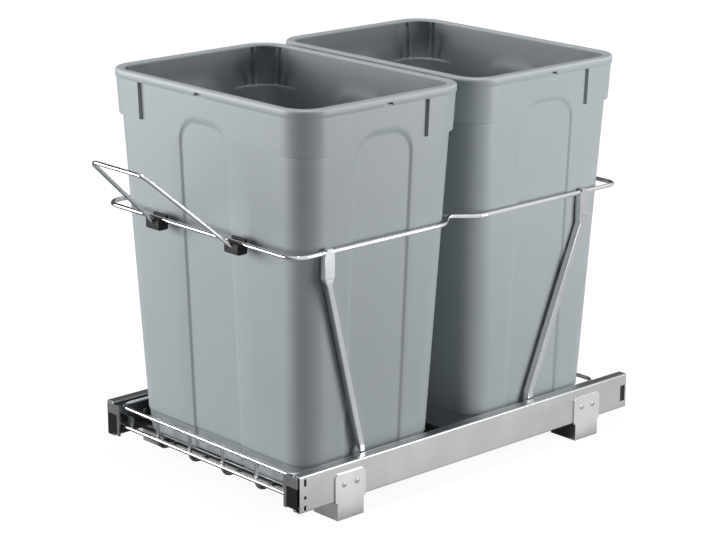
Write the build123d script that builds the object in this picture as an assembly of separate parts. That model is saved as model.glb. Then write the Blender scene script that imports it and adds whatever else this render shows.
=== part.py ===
"""Pull-out waste unit for a base cabinet: two tapered bins in a wire tray on ball-bearing slides.

Frame: +X is the right side seen from the front, -Y is the front (the tray pulls out that way),
+Z is up.  The origin is on the cabinet floor, midway between the slides and midway along them.
All lengths are in millimetres.
"""
import os
from math import atan2, cos, hypot, radians, sin

from build123d import *

# ---------------------------------------------------------------- driving dimensions
# Slides
UNIT_WIDTH = 365.0            # outside to outside of the two slides
SLIDE_LENGTH = 559.0          # nominal 22 in slide
SLIDE_HEIGHT = 45.0
SLIDE_BOTTOM = 23.0           # underside of the slides above the cabinet floor
SLIDE_THICKNESS = 12.7
SLIDE_SHEET = 1.2             # sheet of all three members
BALL_DIAMETER = 3.2
BALL_CLEARANCE = 0.05         # above and below each ball
BALL_PITCH = 36.0
BALL_POCKET_CLEARANCE = 0.2   # radial, ball in its cage
CAGE_SHEET = 0.8
CAGE_LENGTH = 262.0
MEMBER_GAP = 0.4              # between neighbouring webs across the slide
OUTER_LIP = 1.6               # turned-in edge of the outer member
MIDDLE_SETBACK_FRONT = 3.0
MIDDLE_SETBACK_REAR = 9.5
INNER_SETBACK_REAR = 9.5
BUMPER_LENGTH = 8.0
BUMPER_REST_GAP = 0.3

# Holes pressed in the outer member
END_HOLE_INSET = 8.0          # centre of the holes from the front end
END_HOLES = ((36.5, 4.0, 9.0), (18.4, 4.0, 4.0), (5.6, 4.0, 6.0))   # height, width, length
REAR_SLOT_INSET = 6.5
REAR_SLOT_SIZE = (8.5, 21.0)
REAR_SLOT_HEIGHT = 20.0       # its centre above the slide's underside

# Floor brackets
BRACKET_INSET = 76.5          # bracket's middle from the slide's end
BRACKET_SHEET = 2.0
BRACKET_LEG_WIDTH = 41.0
BRACKET_PLATE_WIDTH = 47.0
BRACKET_COVER = 34.0          # plate's top above the slide's underside
BRACKET_STEP_DROP = 1.0       # the plate widens this far below the slide
BRACKET_FOOT_DEPTH = 40.0
BRACKET_NOTCH = 5.0           # cut corner at the plate's top
FOOT_SCREW_INSET = 24.0       # screw hole from the slide's outer face
FOOT_SCREW_RADIUS = 2.75
RIVET_RADIUS = 2.0
RIVET_HEAD_RADIUS = 3.4
RIVET_HEAD_HEIGHT = 1.2
RIVET_CORE_RADIUS = 1.2
RIVET_OFFSET_Y = 10.0
RIVET_RISE = 20.0             # above the slide's underside

# Tray
RAIL_SHEET = 2.0
RAIL_INSET_BOTTOM = 3.0       # rail's edges inside the slide's height
RAIL_INSET_TOP = 4.0
RAIL_RIVETS_FROM_FRONT = (47.5, 159.5)          # from the slide's front end
RAIL_RIVETS_FROM_REAR = (259.5, 149.5, 47.5)    # and from its rear end
FRONT_TAB_GAP = 0.4           # closed tray's tab to the end of the outer member
FRONT_TAB_SHEET = 1.8
FRONT_TAB_INSET = 2.5         # tab's outer edge from the slide's outer face
FRONT_TAB_REACH = 11.8        # its inner edge from the rail's inner face
FRONT_TAB_DROPS = (15.0, 2.0)    # its lower and upper edges below the slide's top
FRONT_TAB_LEG_WIDTH = 5.0
BUFFER_INSET = 1.0            # rubber buffer's lower edge above the rail's
EAR_LENGTH = 25.8             # ear folded inwards from the rail, behind the front wires
EAR_SHEET = 2.0
EAR_RISES = (17.0, 29.0)      # its edges above the slide's underside
EAR_GAP = 0.3                 # behind the front wires
TRAY_WIRE = 5.0               # diameter
WELD = 0.3                    # depth that two welded wires sink into each other
TRAY_FRONT_INSET = 5.6        # centre of the front wires from the slide's front end
TRAY_REAR_INSET = 39.9        # centre of the rear wire from the slide's rear end
TRAY_TOP_DROP = 1.0           # centre of the top wire below the rail's top
TRAY_CORNER_RADIUS = 15.0
FRONT_LOW_WIRE_RISE = 15.0    # above the slide's underside
FLOOR_WIRE_COUNT = 4
FLOOR_WIRE_INSET = 70.8       # outermost floor wires from the tray's side wires
FLOOR_WIRE_RISE = 2.0         # above the slide's underside
FLOOR_WIRE_BEND = 12.0
CROSS_WIRE_COUNT = 8
CROSS_WIRE_FIRST_INSET = 30.9    # from the tray's front wires
CROSS_WIRE_LAST_INSET = 15.6     # from its rear wire

# Hoop that holds the bins upright
HOOP_WIRE = 5.5
HOOP_Z = 323.0
HOOP_CLEARANCE_X = 2.73       # hoop wire to the bins' walls
HOOP_CLEARANCE_FRONT = 14.18
HOOP_CLEARANCE_REAR = 10.18
HOOP_FRONT_RADIUS = 22.0
HOOP_REAR_RADIUS = 15.0
WAIST_DEPTH = 25.0            # notch in the hoop between the bins
WAIST_FORWARD = 6.5           # its tip in front of the middle between the bins
WAIST_HALF_WIDTH = 30.0
WAIST_TIP_RADIUS = 8.0
WAIST_SHOULDER_RADIUS = 25.0

# Struts: channels from the tray up to the hoop; one row each for the front and the rear pair
STRUT_WIDTH = 14.0
STRUT_DEPTH = 8.2
STRUT_SHEET = 1.5
STRUT_KINK_DROP = 36.0        # below the hoop
STRUT_LUG_ABOVE_TRAY = 11.0   # the web runs on below this height as a flat lug
STRUT_LUG_RISE = 13.0         # lug's lower end above the slide's underside
STRUT_TOP_ABOVE_HOOP = 1.0
STRUT_WEB_OUTSIDE_HOOP = 0.75
STRUT_SLOT_CLEARANCE = 0.05
HOOK_WIDTH = 8.0
STRUT_INSETS = {"front": (49.5, 104.9), "rear": (64.2, 123.6)}   # top in the hoop, foot in the tray
STRUT_BOLT_RISE = 27.0        # above the slide's underside
STRUT_BOLT_RADIUS = 2.5
STRUT_BOLT_HEAD_RADIUS = 4.3
STRUT_BOLT_HEAD_HEIGHT = 1.6

# Pull bail
BAIL_WIRE = 5.0
BAIL_LENGTH = 144.0           # hoop wire to the outer bar
BAIL_FOOT_X = 73.0
BAIL_TIP_X = 48.8
BAIL_ANGLE = 39.0             # above the horizontal at rest
BAIL_CORNER_RADIUS = 14.0
BAIL_START_Y = -1.5           # leg's end inside its clip, from the hoop wire's centre
BAIL_START_Z = -8.0
CLIP_LENGTH = 24.0
CLIP_BACK = 6.5               # clip behind the hoop wire's centre
CLIP_FRONT = 8.0
CLIP_BELOW = 12.5
CLIP_FRONT_TOP = 1.5          # top of the clip's front above the hoop wire's centre
CLIP_PRONG_TOP = 5.0
CLIP_BORE_CLEARANCE = 0.06
CLIP_MOUTH = 4.6              # width of the mouth that snaps over the hoop wire
CLIP_CHAMFER = 1.5
SOCKET_CLEARANCE = 0.05

# Bins
BIN_TOP = 489.0
BIN_REST_GAP = 0.3            # bin floor above the cross wires
BIN_CLEARANCE_SIDE = 4.4      # wall to the tray's wires, at the top wire's height
BIN_CLEARANCE_FRONT = 15.7
BIN_CLEARANCE_REAR = 0.4
BIN_TAPER_X = 0.0474
BIN_TAPER_Y = 0.0445
BIN_CORNER_RADIUS = 34.0
BIN_WALL = 2.4
BIN_FLOOR = 3.0
RIM_GAP = 10.0                # between the two bins' rims
RIM_OVERHANG_X = 5.1          # rim's edge beyond the wall at the top
RIM_OVERHANG_Y = 4.57
RIM_CORNER_RADIUS = 39.0
RIM_THICKNESS = 3.2
RIM_SKIRT = 2.2               # sheet of the turned-down edge
RIM_HEIGHT = 9.5
RIM_EDGE_RADIUS = 1.4
RIM_NOTCH = (13.0, 4.0)       # thumb notch in the skirt, width and height
COLLAR_DROP = 55.0            # collar's lower edge below the bin's top
COLLAR_STEP = 4.2
COLLAR_REACH_X = 61.3         # along the walls, from the corner
COLLAR_REACH_Y = 58.5
POCKET_REACH = 39.2           # deep pocket inside each collar, from the corner
POCKET_SHALLOW = 1.2          # depth of the rest of the collar's inside
POCKET_RIBS = ((19.7, 23.2), (27.2, 33.2))   # upright ribs in the pocket, from the corner
POCKET_RIB_ZONE = 14.2        # a rib belongs to the wall that is this near
MOUTH_INSET_X = 12.5          # edge of the opening inside the rim's edge
MOUTH_INSET_Y = 10.0
MOUTH_CORNER_RADIUS = 28.0
PANEL_HALF_WIDTH = 44.0       # arched panel pressed into each side
PANEL_DROP = 41.0             # panel's top below the bin's top
PANEL_CORNER_RADIUS = 30.0
PANEL_DEPTH = 3.4
PLINTH_HEIGHT = 28.5
PLINTH_INSET = 1.2
BIN_BASE_CHAMFER = 4.0

# ---------------------------------------------------------------- values that follow
SIDES = {"left": -1, "right": 1}

# Slides, from the cabinet side to the drawer side
OUTER_X = UNIT_WIDTH / 2
HALF_SLIDE = SLIDE_LENGTH / 2
SLIDE_TOP = SLIDE_BOTTOM + SLIDE_HEIGHT
SLIDE_MIDDLE_Z = SLIDE_BOTTOM + SLIDE_HEIGHT / 2
INNER_FACE_X = OUTER_X - SLIDE_THICKNESS          # drawer side of the inner member
RACE_STEP = SLIDE_SHEET + 2 * BALL_CLEARANCE + BALL_DIAMETER
MIDDLE_HEIGHT = SLIDE_HEIGHT - 2 * RACE_STEP
INNER_HEIGHT = MIDDLE_HEIGHT - 2 * RACE_STEP
OUTER_CAGE_X = OUTER_X - SLIDE_SHEET - MEMBER_GAP
MIDDLE_X = OUTER_CAGE_X - CAGE_SHEET - MEMBER_GAP
INNER_CAGE_X = MIDDLE_X - SLIDE_SHEET - MEMBER_GAP
INNER_FLANGE_X = INNER_CAGE_X - CAGE_SHEET - MEMBER_GAP
FLANGE_RECESS = 0.5                               # outer flange stops short of the inner face
CAGE_TIP_X = INNER_FACE_X + FLANGE_RECESS + SLIDE_SHEET + MEMBER_GAP

# Floor brackets on the slides
BRACKET_Y = HALF_SLIDE - BRACKET_INSET
BRACKET_TOP = SLIDE_BOTTOM + BRACKET_COVER
BRACKET_STEP = SLIDE_BOTTOM - BRACKET_STEP_DROP
RIVET_Z = SLIDE_BOTTOM + RIVET_RISE

# Tray between the rails
RAIL_INNER_X = INNER_FACE_X - RAIL_SHEET
RAIL_BOTTOM = SLIDE_BOTTOM + RAIL_INSET_BOTTOM
RAIL_TOP = SLIDE_TOP - RAIL_INSET_TOP
RAIL_RIVETS_Y = ([inset - HALF_SLIDE for inset in RAIL_RIVETS_FROM_FRONT]
                 + [HALF_SLIDE - inset for inset in RAIL_RIVETS_FROM_REAR])
RAIL_RIVET_Z = SLIDE_MIDDLE_Z
FRONT_TAB_OUTER_X = OUTER_X - FRONT_TAB_INSET
FRONT_TAB_INNER_X = RAIL_INNER_X - FRONT_TAB_REACH
FRONT_TAB_Z = tuple(SLIDE_TOP - drop for drop in FRONT_TAB_DROPS)
FRONT_TAB_Y = (-HALF_SLIDE - FRONT_TAB_GAP - FRONT_TAB_SHEET, -HALF_SLIDE - FRONT_TAB_GAP)
EAR_Z = tuple(SLIDE_BOTTOM + rise for rise in EAR_RISES)
WIRE_R = TRAY_WIRE / 2
TRAY_SIDE_X = RAIL_INNER_X - STRUT_SHEET - WIRE_R + WELD
TRAY_FRONT_Y = TRAY_FRONT_INSET - HALF_SLIDE
TRAY_REAR_Y = HALF_SLIDE - TRAY_REAR_INSET
TRAY_TOP_Z = RAIL_TOP - TRAY_TOP_DROP
FRONT_LOW_WIRE_Z = SLIDE_BOTTOM + FRONT_LOW_WIRE_RISE
FLOOR_WIRE_Z = SLIDE_BOTTOM + FLOOR_WIRE_RISE
FLOOR_WIRE_FRONT_Y = TRAY_FRONT_Y + TRAY_WIRE - WELD
FLOOR_WIRE_REAR_Y = TRAY_REAR_Y - TRAY_WIRE + WELD
CROSS_WIRE_Z = FLOOR_WIRE_Z + TRAY_WIRE - WELD
CROSS_WIRE_FIRST_Y = TRAY_FRONT_Y + CROSS_WIRE_FIRST_INSET
CROSS_WIRE_LAST_Y = TRAY_REAR_Y - CROSS_WIRE_LAST_INSET

# Bins, which fill the tray at the height of its top wire and lean outwards above it
BIN_BASE = CROSS_WIRE_Z + WIRE_R + BIN_REST_GAP
BINS_FRONT_Y = FLOOR_WIRE_FRONT_Y + WIRE_R + BIN_CLEARANCE_FRONT
BINS_REAR_Y = FLOOR_WIRE_REAR_Y - WIRE_R - BIN_CLEARANCE_REAR
LEAN_X = BIN_TAPER_X * (BIN_TOP - TRAY_TOP_Z)
LEAN_Y = BIN_TAPER_Y * (BIN_TOP - TRAY_TOP_Z)
LOW_HALF_X = TRAY_SIDE_X - WIRE_R - BIN_CLEARANCE_SIDE
LOW_HALF_Y = (BINS_REAR_Y - BINS_FRONT_Y - RIM_GAP - 2 * (LEAN_Y + RIM_OVERHANG_Y)) / 4
BIN_Y = {"front": BINS_FRONT_Y + LOW_HALF_Y, "rear": BINS_REAR_Y - LOW_HALF_Y}
RIM_HALF_X = LOW_HALF_X + LEAN_X + RIM_OVERHANG_X
RIM_HALF_Y = LOW_HALF_Y + LEAN_Y + RIM_OVERHANG_Y
MOUTH_HALF_X = RIM_HALF_X - MOUTH_INSET_X
MOUTH_HALF_Y = RIM_HALF_Y - MOUTH_INSET_Y
COLLAR_BOTTOM = BIN_TOP - COLLAR_DROP
COLLAR_HALF_X = LOW_HALF_X + BIN_TAPER_X * (COLLAR_BOTTOM - TRAY_TOP_Z)
COLLAR_HALF_Y = LOW_HALF_Y + BIN_TAPER_Y * (COLLAR_BOTTOM - TRAY_TOP_Z)
COLLAR_FROM_X = COLLAR_HALF_X - COLLAR_REACH_X
COLLAR_FROM_Y = COLLAR_HALF_Y - COLLAR_REACH_Y
PANEL_TOP = BIN_TOP - PANEL_DROP
PLINTH_TOP = BIN_BASE + PLINTH_HEIGHT

# Hoop round the bins' walls, and the struts that carry it
HOOP_LEAN_Y = BIN_TAPER_Y * (HOOP_Z - TRAY_TOP_Z)
HOOP_X = LOW_HALF_X + BIN_TAPER_X * (HOOP_Z - TRAY_TOP_Z) + HOOP_CLEARANCE_X + HOOP_WIRE / 2
HOOP_FRONT_Y = BINS_FRONT_Y - HOOP_LEAN_Y - HOOP_CLEARANCE_FRONT - HOOP_WIRE / 2
HOOP_REAR_Y = BINS_REAR_Y + HOOP_LEAN_Y + HOOP_CLEARANCE_REAR + HOOP_WIRE / 2
WAIST_X = HOOP_X - WAIST_DEPTH
WAIST_Y = (BINS_FRONT_Y + BINS_REAR_Y) / 2 - WAIST_FORWARD
WAIST_FRONT_Y = WAIST_Y - WAIST_HALF_WIDTH
WAIST_REAR_Y = WAIST_Y + WAIST_HALF_WIDTH
STRUT_TOP_X = HOOP_X + HOOP_WIRE / 2 + STRUT_WEB_OUTSIDE_HOOP
STRUT_KINK_Z = HOOP_Z - STRUT_KINK_DROP
STRUT_FOOT_TOP_Z = TRAY_TOP_Z + STRUT_LUG_ABOVE_TRAY
STRUT_FOOT_BOTTOM_Z = SLIDE_BOTTOM + STRUT_LUG_RISE
STRUT_BOLT_Z = SLIDE_BOTTOM + STRUT_BOLT_RISE
top_inset, foot_inset = STRUT_INSETS["front"]
STRUTS = {"front": (HOOP_FRONT_Y + top_inset, TRAY_FRONT_Y + foot_inset)}      # y at the top, at the foot
top_inset, foot_inset = STRUT_INSETS["rear"]
STRUTS["rear"] = (HOOP_REAR_Y - top_inset, TRAY_REAR_Y - foot_inset)

os.makedirs("parts", exist_ok=True)


# ---------------------------------------------------------------- helpers
def block(x, y, z):
    """Box between two corners given as (low, high) pairs, in any order."""
    low = [min(pair) for pair in (x, y, z)]
    size = [abs(pair[1] - pair[0]) for pair in (x, y, z)]
    return Pos(*low) * Box(*size, align=(Align.MIN, Align.MIN, Align.MIN))


def rod(start, end, radius):
    """Round bar between two points."""
    plane = Plane(origin=start, z_dir=Vector(*end) - Vector(*start))
    return extrude(plane * Circle(radius), (Vector(*end) - Vector(*start)).length)


def wire_along(points, radii, diameter, closed=False):
    """Round wire bent along a chain of points, with one bend radius for each corner."""
    path = FilletPolyline(*points, radius=radii, close=closed)
    start = Plane(origin=path @ 0, z_dir=path % 0)
    return sweep(start * Circle(diameter / 2), path=path)


def prism_y(profile, y_low, y_high):
    """Extrude an X-Z profile, drawn as a sketch in X-Y, along Y."""
    upright = Plane(origin=(0, y_low, 0), x_dir=(1, 0, 0), z_dir=(0, -1, 0))
    return extrude(upright * profile, -(y_high - y_low))


def mirror_side(part, side):
    """The right-hand piece, or its mirror image on the left."""
    return part if side > 0 else mirror(part, Plane.YZ)


def save(name, *solids):
    """Write one node: a single solid, or a group of separate ones."""
    found = [solid for item in solids for solid in item.solids()]
    shape = found[0] if len(found) == 1 else Compound(found)
    export_step(shape, f"parts/{name}.step")


def channel(web_x, tip_x, height, sheet):
    """C section of a slide member: its web at web_x, its flanges reaching to tip_x."""
    depth = abs(tip_x - web_x)
    bend = 2.0
    outside = RectangleRounded(2 * depth, height, bend)
    inside = RectangleRounded(2 * depth - 2 * sheet, height - 2 * sheet, bend - sheet)
    keep = Pos(depth / 2, 0) * Rectangle(depth, height)
    section = (outside - inside) & keep
    if web_x < tip_x:
        section = Pos(web_x + depth, 0) * mirror(section, Plane.YZ)
    else:
        section = Pos(web_x - depth, 0) * section
    return Pos(0, SLIDE_MIDDLE_Z) * section


# ---------------------------------------------------------------- slides
def slide_outer():
    """Fixed member: web against the cabinet side, turned-in lips, pressed holes."""
    tip_x = INNER_FACE_X + FLANGE_RECESS
    body = prism_y(channel(OUTER_X, tip_x, SLIDE_HEIGHT, SLIDE_SHEET), -HALF_SLIDE, HALF_SLIDE)
    for z_edge, inward in ((SLIDE_TOP - SLIDE_SHEET, -1), (SLIDE_BOTTOM + SLIDE_SHEET, 1)):
        lip_z = (z_edge, z_edge + inward * OUTER_LIP)
        body += block((tip_x, tip_x + SLIDE_SHEET), (-HALF_SLIDE, HALF_SLIDE), lip_z)
    web = (OUTER_X - 2 * SLIDE_SHEET, OUTER_X + SLIDE_SHEET)
    for height, width, length in END_HOLES:
        y = -HALF_SLIDE + END_HOLE_INSET
        z = SLIDE_BOTTOM + height
        body -= block(web, (y - width / 2, y + width / 2), (z - length / 2, z + length / 2))
    y = HALF_SLIDE - REAR_SLOT_INSET
    z = SLIDE_BOTTOM + REAR_SLOT_HEIGHT
    width, length = REAR_SLOT_SIZE
    body -= block(web, (y - width / 2, y + width / 2), (z - length / 2, z + length / 2))
    for bracket_y in (-BRACKET_Y, BRACKET_Y):
        for offset in (-RIVET_OFFSET_Y, RIVET_OFFSET_Y):
            start = (web[0], bracket_y + offset, RIVET_Z)
            body -= rod(start, (web[1], bracket_y + offset, RIVET_Z), RIVET_RADIUS)
    return body


def slide_middle():
    """Travelling member between the two rows of balls."""
    section = channel(MIDDLE_X, INNER_FACE_X + 2 * FLANGE_RECESS, MIDDLE_HEIGHT, SLIDE_SHEET)
    return prism_y(section, -HALF_SLIDE + MIDDLE_SETBACK_FRONT, HALF_SLIDE - MIDDLE_SETBACK_REAR)


def slide_inner():
    """Member that carries the tray: web on the drawer side, flanges towards the cabinet."""
    section = channel(INNER_FACE_X, INNER_FLANGE_X, INNER_HEIGHT, SLIDE_SHEET)
    body = prism_y(section, -HALF_SLIDE, HALF_SLIDE - INNER_SETBACK_REAR)
    for y in RAIL_RIVETS_Y:
        start = (INNER_FACE_X - SLIDE_SHEET, y, RAIL_RIVET_Z)
        body -= rod(start, (INNER_FACE_X + 2 * SLIDE_SHEET, y, RAIL_RIVET_Z), RIVET_RADIUS)
    return body


def ball_centres(member_height, x):
    """Centres of the balls that run on top of and below a member of this height."""
    rise = member_height / 2 + BALL_CLEARANCE + BALL_DIAMETER / 2
    count = int(CAGE_LENGTH // BALL_PITCH)
    first = -BALL_PITCH * (count - 1) / 2
    rows = (SLIDE_MIDDLE_Z + rise, SLIDE_MIDDLE_Z - rise)
    return [(x, first + BALL_PITCH * index, z) for index in range(count) for z in rows]


def ball_cage(member_height, web_x, tip_x, ball_x):
    """Pressed strip that keeps the balls of one race apart."""
    rise = member_height / 2 + BALL_CLEARANCE + BALL_DIAMETER / 2
    half = CAGE_LENGTH / 2
    body = block((web_x - CAGE_SHEET, web_x), (-half, half),
                 (SLIDE_MIDDLE_Z - rise, SLIDE_MIDDLE_Z + rise))
    for z in (SLIDE_MIDDLE_Z + rise, SLIDE_MIDDLE_Z - rise):
        body += block((tip_x, web_x), (-half, half), (z - CAGE_SHEET / 2, z + CAGE_SHEET / 2))
    pocket = BALL_DIAMETER / 2 + BALL_POCKET_CLEARANCE
    for x, y, z in ball_centres(member_height, ball_x):
        body -= rod((x, y, z - CAGE_SHEET), (x, y, z + CAGE_SHEET), pocket)
    return body


def balls(member_height, x):
    return [Pos(*centre) * Sphere(BALL_DIAMETER / 2) for centre in ball_centres(member_height, x)]


def rear_bumper():
    """Plastic stop clipped into the rear slot of the outer member."""
    y_low = HALF_SLIDE - MIDDLE_SETBACK_REAR + BUMPER_REST_GAP
    y = (y_low, y_low + BUMPER_LENGTH)
    half = INNER_HEIGHT / 2
    body = block((INNER_FACE_X + FLANGE_RECESS, OUTER_X - SLIDE_SHEET), y,
                 (SLIDE_MIDDLE_Z - half, SLIDE_MIDDLE_Z + half))
    slot_y = HALF_SLIDE - REAR_SLOT_INSET
    slot_z = SLIDE_BOTTOM + REAR_SLOT_HEIGHT
    width, length = REAR_SLOT_SIZE
    tongue = BUMPER_REST_GAP
    low = max(slot_y - width / 2 + tongue, y[0])
    high = min(slot_y + width / 2 - tongue, y[1])
    body += block((OUTER_X - 2 * SLIDE_SHEET, OUTER_X - SLIDE_SHEET / 2), (low, high),
                  (slot_z - length / 2 + tongue, slot_z + length / 2 - tongue))
    return body


for side_name, side in SIDES.items():
    outer_ball_x = (INNER_FACE_X + OUTER_CAGE_X) / 2
    inner_ball_x = (INNER_FACE_X + INNER_CAGE_X) / 2
    save(f"slide_outer_{side_name}", mirror_side(slide_outer(), side))
    save(f"slide_middle_{side_name}", mirror_side(slide_middle(), side))
    save(f"slide_inner_{side_name}", mirror_side(slide_inner(), side))
    save(f"slide_bumper_{side_name}", mirror_side(rear_bumper(), side))
    cage = ball_cage(MIDDLE_HEIGHT, OUTER_CAGE_X, CAGE_TIP_X, outer_ball_x)
    save(f"ball_cage_outer_{side_name}", mirror_side(cage, side))
    cage = ball_cage(INNER_HEIGHT, INNER_CAGE_X, CAGE_TIP_X, inner_ball_x)
    save(f"ball_cage_inner_{side_name}", mirror_side(cage, side))
    save(f"balls_outer_{side_name}", *balls(MIDDLE_HEIGHT, side * outer_ball_x))
    save(f"balls_inner_{side_name}", *balls(INNER_HEIGHT, side * inner_ball_x))


# ---------------------------------------------------------------- floor brackets
def floor_bracket(y_centre):
    """Folded steel leg: a plate on the slide's face, two walls and a foot under the slide."""
    plate_x = (OUTER_X, OUTER_X + BRACKET_SHEET)
    inner_x = OUTER_X - BRACKET_FOOT_DEPTH
    leg = BRACKET_LEG_WIDTH / 2
    wide = BRACKET_PLATE_WIDTH / 2
    wall_top = SLIDE_BOTTOM - BUMPER_REST_GAP
    body = block(plate_x, (y_centre - leg, y_centre + leg), (0, BRACKET_STEP))
    body += block(plate_x, (y_centre - wide, y_centre + wide), (BRACKET_STEP, BRACKET_TOP))
    body += block((inner_x, plate_x[1]), (y_centre - leg, y_centre + leg), (0, BRACKET_SHEET))
    for y_face, inward in ((y_centre - leg, 1), (y_centre + leg, -1)):
        wall_y = (y_face, y_face + inward * BRACKET_SHEET)
        body += block((inner_x, plate_x[1]), wall_y, (0, wall_top))
    corner = Rectangle(BRACKET_NOTCH, BRACKET_NOTCH)
    for y_edge in (y_centre - wide, y_centre + wide):
        cut = Plane(origin=(plate_x[0], y_edge, BRACKET_TOP), z_dir=(1, 0, 0)) * Rot(0, 0, 45)
        body -= extrude(cut * corner, BRACKET_SHEET)
    foot_x = OUTER_X - FOOT_SCREW_INSET
    body -= rod((foot_x, y_centre, -1), (foot_x, y_centre, 2 * BRACKET_SHEET), FOOT_SCREW_RADIUS)
    for offset in (-RIVET_OFFSET_Y, RIVET_OFFSET_Y):
        y = y_centre + offset
        body -= rod((OUTER_X - 1, y, RIVET_Z), (plate_x[1] + 1, y, RIVET_Z), RIVET_RADIUS)
    return body


def rivet(x_back, x_face, y, z):
    """Blind rivet with its head on the face at x_face, reaching back to x_back."""
    out = 1 if x_face > x_back else -1
    head_x = x_face + out * RIVET_HEAD_HEIGHT
    body = rod((x_back, y, z), (x_face, y, z), RIVET_RADIUS)
    body += rod((x_face, y, z), (head_x, y, z), RIVET_HEAD_RADIUS)
    rims = body.edges().filter_by(GeomType.CIRCLE)
    rim = [edge for edge in rims if abs(edge.center().X - head_x) < 1e-6]
    body = chamfer(rim, RIVET_HEAD_HEIGHT / 2)
    return body - rod((x_face, y, z), (head_x + out, y, z), RIVET_CORE_RADIUS)


bracket_rivets = []
for side_name, side in SIDES.items():
    for end_name, y_centre in (("front", -BRACKET_Y), ("rear", BRACKET_Y)):
        save(f"floor_bracket_{end_name}_{side_name}", mirror_side(floor_bracket(y_centre), side))
        for offset in (-RIVET_OFFSET_Y, RIVET_OFFSET_Y):
            piece = rivet(OUTER_X - SLIDE_SHEET, OUTER_X + BRACKET_SHEET, y_centre + offset, RIVET_Z)
            bracket_rivets.append(mirror_side(piece, side))
save("bracket_rivets", *bracket_rivets)


# ---------------------------------------------------------------- tray
def side_rail():
    """Plate on the inner slide member; its tab closes on the slide's end, its ear backs the wires."""
    body = block((RAIL_INNER_X, INNER_FACE_X), (-HALF_SLIDE, HALF_SLIDE - INNER_SETBACK_REAR),
                 (RAIL_BOTTOM, RAIL_TOP))
    body += block((RAIL_INNER_X, INNER_FACE_X), (FRONT_TAB_Y[0], -HALF_SLIDE), FRONT_TAB_Z)
    body += block((FRONT_TAB_INNER_X, FRONT_TAB_OUTER_X), FRONT_TAB_Y, FRONT_TAB_Z)
    body += block((FRONT_TAB_INNER_X, FRONT_TAB_INNER_X + FRONT_TAB_LEG_WIDTH), FRONT_TAB_Y,
                  (RAIL_BOTTOM, FRONT_TAB_Z[0]))
    ear_y = TRAY_FRONT_Y + WIRE_R + EAR_GAP
    body += block((RAIL_INNER_X - EAR_LENGTH, RAIL_INNER_X), (ear_y, ear_y + EAR_SHEET), EAR_Z)
    for y in RAIL_RIVETS_Y:
        body -= rod((RAIL_INNER_X - 1, y, RAIL_RIVET_Z), (INNER_FACE_X + 1, y, RAIL_RIVET_Z),
                    RIVET_RADIUS)
    for _, foot_y in STRUTS.values():
        body -= rod((RAIL_INNER_X - 1, foot_y, STRUT_BOLT_Z), (INNER_FACE_X + 1, foot_y, STRUT_BOLT_Z),
                    STRUT_BOLT_RADIUS)
    return body


def rail_buffer():
    """Rubber block in the corner of the tab and its leg, which cushions the closing tray."""
    return block((FRONT_TAB_INNER_X + FRONT_TAB_LEG_WIDTH, FRONT_TAB_OUTER_X), FRONT_TAB_Y,
                 (RAIL_BOTTOM + BUFFER_INSET, FRONT_TAB_Z[0]))


def perimeter_wire():
    """Top wire of the tray, round all four sides."""
    corners = [
        (TRAY_SIDE_X, TRAY_FRONT_Y, TRAY_TOP_Z),
        (TRAY_SIDE_X, TRAY_REAR_Y, TRAY_TOP_Z),
        (-TRAY_SIDE_X, TRAY_REAR_Y, TRAY_TOP_Z),
        (-TRAY_SIDE_X, TRAY_FRONT_Y, TRAY_TOP_Z),
    ]
    return wire_along(corners, [TRAY_CORNER_RADIUS] * len(corners), TRAY_WIRE, closed=True)


def spread(first, last, count):
    """Evenly spaced places from the first to the last."""
    return [first + (last - first) * index / (count - 1) for index in range(count)]


def floor_wire(x):
    """Wire that hangs from the top wire at the front, runs under the bins and rises at the rear."""
    points = [
        (x, FLOOR_WIRE_FRONT_Y, TRAY_TOP_Z),
        (x, FLOOR_WIRE_FRONT_Y, FLOOR_WIRE_Z),
        (x, FLOOR_WIRE_REAR_Y, FLOOR_WIRE_Z),
        (x, FLOOR_WIRE_REAR_Y, TRAY_TOP_Z),
    ]
    return wire_along(points, [FLOOR_WIRE_BEND, FLOOR_WIRE_BEND], TRAY_WIRE)


def cross_wires():
    """Straight wires under the bins, from rail to rail."""
    return [rod((-RAIL_INNER_X, y, CROSS_WIRE_Z), (RAIL_INNER_X, y, CROSS_WIRE_Z), WIRE_R)
            for y in spread(CROSS_WIRE_FIRST_Y, CROSS_WIRE_LAST_Y, CROSS_WIRE_COUNT)]


save("tray_perimeter_wire", perimeter_wire())
save("tray_front_low_wire", rod((-RAIL_INNER_X, TRAY_FRONT_Y, FRONT_LOW_WIRE_Z),
                                (RAIL_INNER_X, TRAY_FRONT_Y, FRONT_LOW_WIRE_Z), WIRE_R))
outermost_x = TRAY_SIDE_X - FLOOR_WIRE_INSET
save("tray_floor_wires", *[floor_wire(x) for x in spread(-outermost_x, outermost_x, FLOOR_WIRE_COUNT)])
save("tray_cross_wires", *cross_wires())
for side_name, side in SIDES.items():
    save(f"side_rail_{side_name}", mirror_side(side_rail(), side))
    save(f"rail_buffer_{side_name}", mirror_side(rail_buffer(), side))
    rail_rivets = [rivet(INNER_FACE_X + SLIDE_SHEET, RAIL_INNER_X, y, RAIL_RIVET_Z)
                   for y in RAIL_RIVETS_Y]
    save(f"rail_rivets_{side_name}", *[mirror_side(piece, side) for piece in rail_rivets])


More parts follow.
